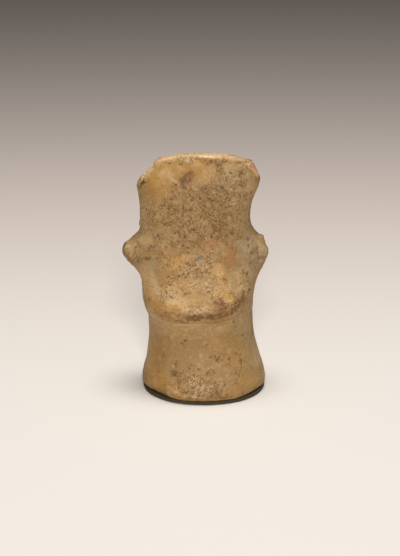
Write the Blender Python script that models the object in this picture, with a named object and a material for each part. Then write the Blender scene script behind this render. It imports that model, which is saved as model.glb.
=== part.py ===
"""Weathered stone standing figurine, its head and arms broken away, on a thin dark base pad.

Metres, +Z up. The figure faces -Y and its left-hand arm stub in the front view is at -X.
The origin is the centre of the base pad's underside.
"""

import math
from dataclasses import astuple, dataclass

import bmesh
import bpy
from mathutils import Matrix, Vector, noise

# Driving dimensions, in metres
FIGURE_HEIGHT = 0.0787
PAD_THICKNESS = 0.0010
PAD_INSET = 0.0001
PAD_EDGE_ROUND = 0.0002
PAD_SHARP_ANGLE = math.radians(35)
BEDDING_GAP = 0.0003

# The free form is drawn in millimetres for a figure of this height, and scaled to FIGURE_HEIGHT
DRAWN_HEIGHT = 78.7
SCALE = FIGURE_HEIGHT / DRAWN_HEIGHT
FIGURE_UNDERSIDE = PAD_THICKNESS + BEDDING_GAP

# How finely the carved form is meshed
COLUMNS = 60
FOOT_ROWS = 4
SKIRT_ROWS = 11
LIP_ROWS = 6
TORSO_ROWS = 30

# The crease between belly and skirt. It climbs towards +X, dips at the far -X side, and the lip rounds under to it
LEDGE_LEVEL = 24.8
LEDGE_RIGHT_RISE = 3.9
LEDGE_RIGHT_POWER = 2.5
LEDGE_LEFT_DROP = 0.9
LEDGE_DROPS_FROM = 0.7
LEDGE_WARP_REACH = 22.0
LIP_HEIGHT_CRISP = 3.4
LIP_HEIGHT_FADED = 9.0
LIP_FADES_FROM = 0.66
LIP_FADED_AT = 0.98
ROLL_LEVEL = 28.6
ROLL_HEIGHT = 3.0
ROLL_SWELL = 0.5

# The rounded lower edge of the foot, rubbed down further at the front towards -X
FOOT_ROUND = 1.5
FOOT_WORN_ROUND = 3.0
FOOT_WORN_ANGLE = math.radians(228)
FOOT_WORN_SPREAD = math.radians(24)
FOOT_INSET_SHARE = 0.85

# Above the top break the loft runs on to here, and the break cuts it back
LOFT_TOP = 86.0


@dataclass(frozen=True)
class Section:
    """One horizontal section of the carved body, in drawn millimetres."""

    level: float
    left: float
    right: float
    front: float
    back: float
    squareness: float


@dataclass(frozen=True)
class ArmStub:
    """One broken arm: how far it stands out sideways, and how it fades above, below and in depth."""

    side: int
    level: float
    reach: float
    fade_up: float
    fade_down: float
    bluntness: float
    half_depth: float


@dataclass(frozen=True)
class Break:
    """A broken face: the block that is struck off lies beyond point, in the direction of outward."""

    name: str
    point: tuple[float, float, float]
    outward: tuple[float, float, float]
    span: float
    arch: float
    roughness: float
    seed: float


@dataclass(frozen=True)
class Finish:
    """Colour and surface of one material, with the colour in linear values."""

    name: str
    colour: tuple[float, float, float]
    roughness: float
    metallic: float = 0.0


SKIRT = (
    Section(0.0, 20.1, 19.7, 19.4, 19.2, 2.15),
    Section(2.0, 20.3, 19.9, 19.4, 19.2, 2.15),
    Section(8.4, 19.0, 18.1, 17.9, 17.0, 2.15),
    Section(15.6, 18.1, 16.3, 15.3, 14.3, 2.2),
    Section(22.0, 18.2, 15.6, 13.8, 13.2, 2.25),
    Section(34.0, 18.6, 15.8, 13.6, 13.4, 2.3),
)

TORSO = (
    Section(16.0, 19.4, 15.8, 14.8, 13.2, 2.25),
    Section(25.5, 19.6, 15.7, 15.7, 13.7, 2.3),
    Section(33.0, 20.2, 15.9, 14.8, 13.3, 2.35),
    Section(43.0, 20.6, 15.0, 12.2, 11.2, 2.5),
    Section(54.0, 20.7, 14.4, 9.8, 9.2, 2.6),
    Section(62.0, 20.9, 15.3, 8.5, 8.0, 2.7),
    Section(68.0, 21.9, 17.6, 7.6, 7.0, 2.8),
    Section(74.0, 22.2, 18.2, 6.6, 6.0, 2.8),
    Section(LOFT_TOP, 22.2, 18.2, 5.0, 4.6, 2.8),
)

ARM_STUBS = (
    ArmStub(-1, level=45.3, reach=6.2, fade_up=4.3, fade_down=5.9, bluntness=2.7, half_depth=5.6),
    ArmStub(1, level=45.6, reach=6.6, fade_up=5.3, fade_down=7.9, bluntness=2.0, half_depth=5.6),
)

BREAKS = (
    Break("top_break", (-0.8, -5.0, 78.5), (0.0, 0.23, 1.0), 60.0, 7.0, 0.7, 3.1),
    Break("left_corner_break", (-17.9, -4.0, 72.5), (-0.785, 0.12, 0.62), 34.0, 0.0, 0.9, 7.7),
    Break("right_corner_break", (15.9, -4.0, 74.0), (0.88, 0.08, 0.47), 26.0, 0.0, 0.8, 12.4),
    Break("left_arm_break", (-26.6, 0.0, 45.4), (-1.0, -0.05, 0.22), 20.0, 0.0, 0.5, 18.9),
    Break("right_arm_break", (19.6, 0.0, 47.2), (0.91, -0.10, 0.42), 20.0, 0.0, 0.5, 23.5),
    Break("right_arm_under_break", (20.0, 0.0, 43.0), (0.93, 0.05, -0.36), 20.0, 0.0, 0.5, 29.2),
)
BREAK_STEP = 2.6
BREAK_GRAIN = 0.22
CUTTER_DEPTH = 24.0

STONE = Finish("weathered_stone", colour=(0.38, 0.23, 0.10), roughness=0.62)
PAD = Finish("dark_pad", colour=(0.060, 0.055, 0.042), roughness=0.9)


def ease(value):
    """Smooth step from 0 to 1."""
    value = min(1.0, max(0.0, value))
    return value * value * (3 - 2 * value)


def fade(distance, reach, bluntness=2.0):
    """Bell-shaped fade from 1 to 0, with a flatter crown the blunter it is."""
    return math.exp(-(abs(distance / reach) ** bluntness))


def swell(distance, reach):
    """Bump from 1 to 0 that ends at reach."""
    return max(0.0, 1 - (distance / reach) ** 2) ** 2


def turn_between(angle, other):
    """Smallest turn from one angle to another, in radians."""
    return abs((angle - other + math.pi) % (2 * math.pi) - math.pi)


def section_at(sections, level):
    """Section at a level: a smooth curve through the drawn sections."""
    rows = [astuple(section) for section in sections]
    if level <= rows[0][0]:
        return Section(*rows[0])
    if level >= rows[-1][0]:
        return Section(*rows[-1])
    k = next(i for i in range(len(rows) - 1) if rows[i][0] <= level <= rows[i + 1][0])
    before, low, high = rows[max(k - 1, 0)], rows[k], rows[k + 1]
    after = rows[min(k + 2, len(rows) - 1)]
    gap = high[0] - low[0]
    t = (level - low[0]) / gap
    values = []
    for p, a, b, n in zip(before, low, high, after):
        leave = (b - p) / max(high[0] - before[0], gap) * gap
        arrive = (n - a) / max(after[0] - low[0], gap) * gap
        values.append(
            a * (2 * t**3 - 3 * t**2 + 1)
            + leave * (t**3 - 2 * t**2 + t)
            + b * (3 * t**2 - 2 * t**3)
            + arrive * (t**3 - t**2)
        )
    return Section(*values)


def point_on(section, angle):
    """Point of a section's rim at an angle, seen from above, with 0 at +X and the back at +Y."""
    across, along = math.cos(angle), math.sin(angle)
    power = 2 / section.squareness
    reach_x = section.right if across > 0 else section.left
    reach_y = section.back if along > 0 else section.front
    x = math.copysign(abs(across) ** power, across) * reach_x
    y = math.copysign(abs(along) ** power, along) * reach_y
    return Vector((x, y))


def ledge_offset(angle):
    """How far the crease lies above or below LEDGE_LEVEL."""
    rise = LEDGE_RIGHT_RISE * max(0.0, math.cos(angle)) ** LEDGE_RIGHT_POWER
    drop = LEDGE_LEFT_DROP * ease((-math.cos(angle) - LEDGE_DROPS_FROM) / (1 - LEDGE_DROPS_FROM))
    return rise - drop


def lip_softness(angle):
    """0 where the lip stands crisp, at the front and left, and 1 where it has faded into the body."""
    at_back = ease(0.5 + 0.5 * math.sin(angle))
    at_right = ease((math.cos(angle) - LIP_FADES_FROM) / (LIP_FADED_AT - LIP_FADES_FROM))
    return max(at_back, at_right)


def torso_share_at(level, softness):
    """0 below the crease, 1 above the lip, and the lip's rounded underside between."""
    height = LIP_HEIGHT_CRISP + (LIP_HEIGHT_FADED - LIP_HEIGHT_CRISP) * softness
    risen = min(1.0, max(0.0, (level - LEDGE_LEVEL) / height))
    rounded = math.sqrt(1 - (1 - risen) ** 2)
    return rounded + (ease(risen) - rounded) * softness


def foot_round_at(angle):
    """Radius of the foot's lower edge at an angle."""
    worn = fade(turn_between(angle, FOOT_WORN_ANGLE), FOOT_WORN_SPREAD)
    return FOOT_ROUND + (FOOT_WORN_ROUND - FOOT_ROUND) * worn


def foot_inset(level, angle):
    """How far the foot's rounded lower edge draws the outline in."""
    radius = foot_round_at(angle)
    below = max(0.0, radius - level)
    return FOOT_INSET_SHARE * (radius - math.sqrt(radius**2 - below**2))


def body_point(level, angle):
    """Point of the carved surface, in drawn millimetres above the figure's underside."""
    warp = ledge_offset(angle) * swell(level - LEDGE_LEVEL, LEDGE_WARP_REACH)
    height = level + warp
    softness = lip_softness(angle)
    torso_share = torso_share_at(level, softness)
    rim = point_on(section_at(SKIRT, height), angle) * (1 - torso_share)
    rim += point_on(section_at(TORSO, height), angle) * torso_share
    outward = rim.normalized()
    roll = ROLL_SWELL * fade(level - ROLL_LEVEL, ROLL_HEIGHT) * (1 - softness) * torso_share
    rim += outward * (roll - foot_inset(height, angle))
    for stub in ARM_STUBS:
        if stub.side * rim.x <= 0:
            continue
        rise = height - stub.level
        fade_reach = stub.fade_up if rise > 0 else stub.fade_down
        reach = stub.reach * fade(rise, fade_reach, stub.bluntness)
        rim.x += stub.side * reach * fade(rim.y, stub.half_depth)
    return Vector((rim.x, rim.y, height))


def quarter_arc(steps):
    """Heights from 0 to 1 of points spaced evenly round a quarter circle."""
    return [1 - math.cos(math.radians(90 * k / steps)) for k in range(steps + 1)]


def row_levels():
    """Levels of the rows: close together at the foot's edge and at the crease, wider elsewhere."""
    foot = [FOOT_WORN_ROUND * share for share in quarter_arc(FOOT_ROWS)]
    skirt = [foot[-1] + (LEDGE_LEVEL - foot[-1]) * k / SKIRT_ROWS for k in range(1, SKIRT_ROWS)]
    lip = [LEDGE_LEVEL + LIP_HEIGHT_CRISP * share for share in quarter_arc(LIP_ROWS)]
    torso = [lip[-1] + (LOFT_TOP - lip[-1]) * k / TORSO_ROWS for k in range(1, TORSO_ROWS + 1)]
    return foot + skirt + lip + torso


def placed(point):
    """A drawn point as a place in the part's frame."""
    return point * SCALE + Vector((0, 0, FIGURE_UNDERSIDE))


def add_object(name, mesh_data, material=None):
    """Link a new object with this mesh to the scene."""
    obj = bpy.data.objects.new(name, mesh_data)
    bpy.context.scene.collection.objects.link(obj)
    if material:
        mesh_data.materials.append(material)
    return obj


def mesh_from(builder, name):
    """Turn a bmesh into a mesh with its faces pointing out."""
    bmesh.ops.recalc_face_normals(builder, faces=builder.faces)
    data = bpy.data.meshes.new(name)
    builder.to_mesh(data)
    builder.free()
    return data


def make_body(name, material):
    """The carved body as one loft from the foot to above the break."""
    builder = bmesh.new()
    angles = [2 * math.pi * k / COLUMNS for k in range(COLUMNS)]
    rings = [
        [builder.verts.new(placed(body_point(level, angle))) for angle in angles]
        for level in row_levels()
    ]
    for lower, upper in zip(rings, rings[1:]):
        for k in range(COLUMNS):
            following = (k + 1) % COLUMNS
            builder.faces.new((lower[k], lower[following], upper[following], upper[k]))
    builder.faces.new(rings[0])
    builder.faces.new(rings[-1])
    return add_object(name, mesh_from(builder, name), material)


def make_break_cutter(struck):
    """A block with one rough, arched face, which leaves a broken surface where it cuts."""
    builder = bmesh.new()
    half = struck.span / 2
    steps = round(struck.span / BREAK_STEP)
    bmesh.ops.create_grid(builder, x_segments=steps, y_segments=steps, size=half)
    for vert in builder.verts:
        grain = noise.noise(Vector((vert.co.x, vert.co.y, struck.seed)) * BREAK_GRAIN)
        vert.co.z = struck.roughness * grain - struck.arch * (vert.co.x / half) ** 2
    raised = bmesh.ops.extrude_face_region(builder, geom=list(builder.faces))["geom"]
    for item in raised:
        if isinstance(item, bmesh.types.BMVert):
            item.co.z = CUTTER_DEPTH
    outward = Vector(struck.outward).normalized()
    sideways = Vector((0, 1, 0)).cross(outward).normalized()
    onward = outward.cross(sideways)
    turn = Matrix((sideways, onward, outward)).transposed()
    for vert in builder.verts:
        vert.co = placed(turn @ vert.co + Vector(struck.point))
    cutter = add_object(struck.name, mesh_from(builder, struck.name))
    cutter.hide_render = True
    cutter.display_type = "WIRE"
    return cutter


def strike_off(figure, struck):
    """Cut one broken face into the figure."""
    cut = figure.modifiers.new(struck.name, "BOOLEAN")
    cut.operation = "DIFFERENCE"
    cut.object = make_break_cutter(struck)


def make_pad(name, material):
    """The thin dark pad, cut just inside the foot's outline, with an eased upper and lower edge."""
    builder = bmesh.new()
    foot = SKIRT[0]
    outline = []
    for k in range(COLUMNS):
        rim = point_on(foot, 2 * math.pi * k / COLUMNS) * SCALE
        rim -= rim.normalized() * PAD_INSET
        outline.append(builder.verts.new((rim.x, rim.y, 0.0)))
    underside = builder.faces.new(outline)
    raised = bmesh.ops.extrude_face_region(builder, geom=[underside], use_keep_orig=True)["geom"]
    bmesh.ops.translate(
        builder,
        verts=[item for item in raised if isinstance(item, bmesh.types.BMVert)],
        vec=(0, 0, PAD_THICKNESS),
    )
    rims = [edge for edge in builder.edges if edge.verts[0].co.z == edge.verts[1].co.z]
    bmesh.ops.bevel(builder, geom=rims, offset=PAD_EDGE_ROUND, segments=1, affect="EDGES")
    return add_object(name, mesh_from(builder, name), material)


def make_material(finish):
    """A plain Principled material in this finish."""
    material = bpy.data.materials.new(finish.name)
    material.use_nodes = True
    shader = material.node_tree.nodes["Principled BSDF"]
    shader.inputs["Base Color"].default_value = (*finish.colour, 1.0)
    shader.inputs["Roughness"].default_value = finish.roughness
    shader.inputs["Metallic"].default_value = finish.metallic
    return material


def main():
    """Build the figure and its pad."""
    for obj in list(bpy.data.objects):
        bpy.data.objects.remove(obj, do_unlink=True)
    figure = make_body("figure", make_material(STONE))
    for struck in BREAKS:
        strike_off(figure, struck)
    figure.data.shade_smooth()
    pad = make_pad("base_pad", make_material(PAD))
    pad.data.set_sharp_from_angle(angle=PAD_SHARP_ANGLE)


main()
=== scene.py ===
"""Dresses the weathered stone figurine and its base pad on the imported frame.

The frame is in metres, +Z up, and the figure faces -Y. A name that ends in _mm holds millimetres.
A mark on the stone is placed by the pixel of the 400 x 556 photograph that it shows at, and lies on
the stone's surface there.
"""

import logging
import math
from collections.abc import Iterable, Sequence
from dataclasses import dataclass, replace
from enum import Enum
from typing import Any

import bmesh
import bpy
import numpy as np
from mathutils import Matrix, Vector, noise
from mathutils.bvhtree import BVHTree


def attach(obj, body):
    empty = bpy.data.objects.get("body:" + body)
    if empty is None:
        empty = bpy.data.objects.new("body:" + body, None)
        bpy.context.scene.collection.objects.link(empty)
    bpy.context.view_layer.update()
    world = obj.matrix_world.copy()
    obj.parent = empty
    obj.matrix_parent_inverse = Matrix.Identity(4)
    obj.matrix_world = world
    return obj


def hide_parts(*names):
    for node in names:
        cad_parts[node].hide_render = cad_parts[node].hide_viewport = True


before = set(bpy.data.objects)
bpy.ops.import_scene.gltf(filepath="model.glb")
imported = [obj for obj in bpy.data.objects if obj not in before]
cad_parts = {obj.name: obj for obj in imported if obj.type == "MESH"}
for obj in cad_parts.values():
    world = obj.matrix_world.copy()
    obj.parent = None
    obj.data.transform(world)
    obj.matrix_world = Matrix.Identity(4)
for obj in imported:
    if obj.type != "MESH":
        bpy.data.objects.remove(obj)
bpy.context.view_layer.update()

LOG = logging.getLogger("figurine")
MM = 0.001
MERGE_DISTANCE = 1e-6
LEAST_COVER = 1e-6
BODY = "root"

Colour = tuple[float, float, float, float]
Srgb = tuple[int, int, int]
Band = tuple[float, float]
Socket = bpy.types.NodeSocket


def linear(srgb: Srgb) -> Colour:
    """Turns an 8-bit display colour into a linear one.

    Args:
        srgb: Red, green and blue from 0 to 255.

    Returns:
        The linear colour with full alpha.
    """
    shares = [value / 255 for value in srgb]
    red, green, blue = (s / 12.92 if s <= 0.04045 else ((s + 0.055) / 1.055) ** 2.4 for s in shares)
    return (red, green, blue, 1.0)


def smooth_step(low: float, high: float, value: np.ndarray) -> np.ndarray:
    """Eases each value from 0 at low to 1 at high."""
    share = np.clip((value - low) / (high - low), 0.0, 1.0)
    return share * share * (3 - 2 * share)


def noise_field(points: np.ndarray, span_mm: float, seed: float) -> np.ndarray:
    """Smooth noise of about -1 to 1 at each row of points in metres; the seed moves it."""
    scaled = points / (span_mm * MM) + (seed, -seed, 2 * seed)
    return np.array([noise.noise(Vector(place)) for place in scaled])


class Pigment(Enum):
    """The colours that coat the stone or show in it as stains, and those that paint light and shade on it, as
    display values.
    """

    AMBER = (172, 128, 66)
    GLOW = (190, 150, 98)
    HONEY = (196, 150, 88)
    IRON = (164, 112, 58)
    RUST = (146, 98, 46)
    OCHRE = (200, 157, 98)
    CREAM = (204, 170, 122)
    CALCITE = (232, 202, 158)
    ROSE = (206, 162, 120)
    OLIVE = (150, 124, 82)
    ASH = (160, 136, 100)
    TAN = (150, 118, 74)
    DRAB = (130, 105, 70)
    EARTH = (104, 74, 38)
    UMBER = (74, 50, 22)
    PLUM = (154, 110, 84)
    MOSS = (66, 56, 8)
    SLATE = (116, 104, 96)
    GOLD = (176, 136, 62)
    BEIGE = (172, 142, 102)
    KHAKI = (158, 132, 88)
    SHADE = (122, 90, 54)
    STRAW = (186, 154, 104)


@dataclass(frozen=True)
class PhotoCamera:
    """The photograph's view: how it is placed, and where its pixels look."""

    width_px: int = 400
    height_px: int = 556
    elevation: float = math.radians(20.0)
    distance: float = 0.9
    aim: tuple[float, float, float] = (-0.00146, 0.0, 0.03655)
    height_at_aim: float = 0.1802
    sensor_mm: float = 36.0
    far_clip: float = 20.0

    @property
    def right(self) -> Vector:
        """The view's rightward direction."""
        return Vector((1.0, 0.0, 0.0))

    @property
    def back(self) -> Vector:
        """The direction from the figurine to the camera."""
        return Vector((0.0, -math.cos(self.elevation), math.sin(self.elevation)))

    @property
    def up(self) -> Vector:
        """The view's upward direction."""
        return self.back.cross(self.right)

    @property
    def eye(self) -> Vector:
        """Where the camera stands."""
        return Vector(self.aim) + self.back * self.distance

    def place_at_aim(self, x: float, y: float) -> Vector:
        """The point that a pixel shows at the aim's distance.

        Args:
            x: Pixels from the picture's left edge.
            y: Pixels from its top edge.

        Returns:
            The point in metres.
        """
        step = self.height_at_aim / self.height_px
        across = self.right * (x - self.width_px / 2) * step
        return Vector(self.aim) + across + self.up * (self.height_px / 2 - y) * step

    def add(self) -> bpy.types.Object:
        """Makes the camera and gives it to the scene.

        Returns:
            The camera object.
        """
        data = bpy.data.cameras.new("photo_camera")
        data.sensor_width = self.sensor_mm
        data.lens = self.sensor_mm * self.distance / self.height_at_aim
        data.clip_end = self.far_clip
        camera = bpy.data.objects.new("photo_camera", data)
        camera.location = self.eye
        camera.rotation_mode = "QUATERNION"
        camera.rotation_quaternion = (-self.back).to_track_quat("-Z", "Y")
        bpy.context.scene.collection.objects.link(camera)
        bpy.context.scene.camera = camera
        return camera


@dataclass(frozen=True)
class Grain:
    """A soft random pattern.

    Attributes:
        span: The distance over which it changes, in the units of the place it is read at.
        detail: How many finer layers it has.
        rough: How strong the finer layers are.
        twist: How far it is drawn out of shape.
    """

    span: float
    detail: float = 2.0
    rough: float = 0.5
    twist: float = 0.0

    def finer(self, share: float) -> "Grain":
        """The same pattern with its span times a share."""
        return replace(self, span=self.span * share)


class Sketch:
    """Adds and links the nodes of one shader or geometry tree."""

    def __init__(self, tree: bpy.types.NodeTree) -> None:
        """Keeps the tree that the nodes go into."""
        self.tree = tree

    def node(self, kind: str, inputs: dict[Any, Any] | None = None, **settings: Any) -> bpy.types.Node:
        """Adds a node.

        Args:
            kind: Blender's name for the kind of node.
            inputs: Input name or number to a value or to the socket that feeds it.
            **settings: The node's own settings.

        Returns:
            The new node.
        """
        made = self.tree.nodes.new(kind)
        for key, value in settings.items():
            setattr(made, key, value)
        for key, value in (inputs or {}).items():
            socket = made.inputs[key] if isinstance(key, int) else self.live(made.inputs, key)
            self.feed(socket, value)
        return made

    def feed(self, socket: Socket, value: Any) -> None:
        """Gives an input its value, or links the socket that feeds it.

        Args:
            socket: The input.
            value: A plain value or another node's output.
        """
        if isinstance(value, Socket):
            self.tree.links.new(value, socket)
        else:
            socket.default_value = value

    @staticmethod
    def live(sockets: Iterable[Socket], name: str) -> Socket:
        """The socket of this name that the node's settings leave in use."""
        return next(socket for socket in sockets if socket.name == name and socket.enabled)

    def calc(self, operation: str, first: Any, second: Any = 0.0, third: Any = 0.0) -> Socket:
        """Adds a Math node and gives its result."""
        return self.node("ShaderNodeMath", {0: first, 1: second, 2: third}, operation=operation).outputs[0]

    def vector(self, operation: str, first: Any, second: Any) -> Socket:
        """Adds a Vector Math node of two inputs and gives its result."""
        made = self.node("ShaderNodeVectorMath", {0: first, 1: second}, operation=operation)
        return made.outputs["Value" if operation in ("DISTANCE", "DOT_PRODUCT") else "Vector"]

    def scaled(self, vector: Any, scale: Any) -> Socket:
        """Multiplies a vector by a number or a socket."""
        inputs = {"Vector": vector, "Scale": scale}
        return self.node("ShaderNodeVectorMath", inputs, operation="SCALE").outputs["Vector"]

    def step(self, value: Any, low: float, high: float) -> Socket:
        """Eases a value from 0 at low to 1 at high; low may be the larger.

        Args:
            value: The number or socket.
            low: Where the step starts.
            high: Where it ends.

        Returns:
            The result's socket.
        """
        eased = self.node(
            "ShaderNodeMapRange",
            {"Value": value, "From Min": low, "From Max": high},
            interpolation_type="SMOOTHSTEP",
        )
        return eased.outputs["Result"]

    def blend(self, share: Any, first: Any, second: Any) -> Socket:
        """Mixes two colours.

        Args:
            share: How much of the second colour.
            first: A colour or its socket.
            second: A colour or its socket.

        Returns:
            The mixed colour's socket.
        """
        mixed = self.node("ShaderNodeMix", data_type="RGBA", clamp_factor=True)
        for name, value in (("Factor", share), ("A", first), ("B", second)):
            self.feed(self.live(mixed.inputs, name), value)
        return self.live(mixed.outputs, "Result")

    def coat(self, share: Any, cover: float, below: Any, above: Any) -> Socket:
        """Lays the colour above over the one below: where by share, how strongly by cover."""
        return self.blend(self.calc("MULTIPLY", share, cover), below, above)

    def wash(self, pattern: Any, band: Band, cover: float, below: Any, above: Any) -> Socket:
        """Lays one colour over another where a pattern has passed through a band."""
        return self.coat(self.step(pattern, *band), cover, below, above)

    def grain(self, place: Any, pattern: Grain) -> Socket:
        """Adds a random pattern.

        Args:
            place: Where it is read.
            pattern: What it is like.

        Returns:
            The pattern's socket, from 0 to 1.
        """
        inputs = {
            "Vector": place,
            "Scale": 1 / pattern.span,
            "Detail": pattern.detail,
            "Roughness": pattern.rough,
            "Distortion": pattern.twist,
        }
        return self.node("ShaderNodeTexNoise", inputs).outputs[0]

    def cobbles(self, place: Any, span: float, warp: float) -> tuple[Socket, Socket]:
        """Packs the space with uneven grains.

        Args:
            place: Where the pattern is read.
            span: How wide a grain is.
            warp: How far the grains are drawn out of shape.

        Returns:
            How far inside its grain each point lies, and a number from 0 to 1 for each grain.
        """
        drift = self.node("ShaderNodeTexNoise", {"Vector": place, "Scale": 1 / span, "Detail": 2.0})
        drift = self.vector("SUBTRACT", drift.outputs["Color"], (0.5, 0.5, 0.5))
        warped = self.vector("ADD", place, self.scaled(drift, warp))
        inputs = {"Vector": warped, "Scale": 1 / span}
        inside = self.node("ShaderNodeTexVoronoi", inputs, feature="DISTANCE_TO_EDGE").outputs["Distance"]
        colour = self.node("ShaderNodeTexVoronoi", inputs, feature="F1").outputs["Color"]
        return inside, self.vector("DOT_PRODUCT", colour, (1.0, 0.0, 0.0))


@dataclass(frozen=True)
class Mark:
    """One mark on the stone, as an oval with a ragged edge; the marks are stains, chips, hollows, crusts,
    painted highlights and painted shade.

    Attributes:
        name: What it is.
        x: The photograph's pixel column of its middle.
        y: The pixel row of its middle.
        wide_mm: Its width, seen from the camera.
        tall_mm: Its height, seen from the camera.
        pigment: The colour it leaves, or None.
        cover: How strongly it colours the stone.
        turn: Its turn in the view, in degrees, anticlockwise.
        sink_mm: How deep it is; below 0 it stands up.
        crust: How much granular crust it adds, or takes away below 0.
        edge: How soft its edge is, from 0 to 1.
        ragged: How far its edge wanders.
    """

    name: str
    x: float
    y: float
    wide_mm: float
    tall_mm: float
    pigment: Pigment | None = None
    cover: float = 0.6
    turn: float = 0.0
    sink_mm: float = 0.0
    crust: float = 0.0
    edge: float = 0.5
    ragged: float = 0.35


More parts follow.
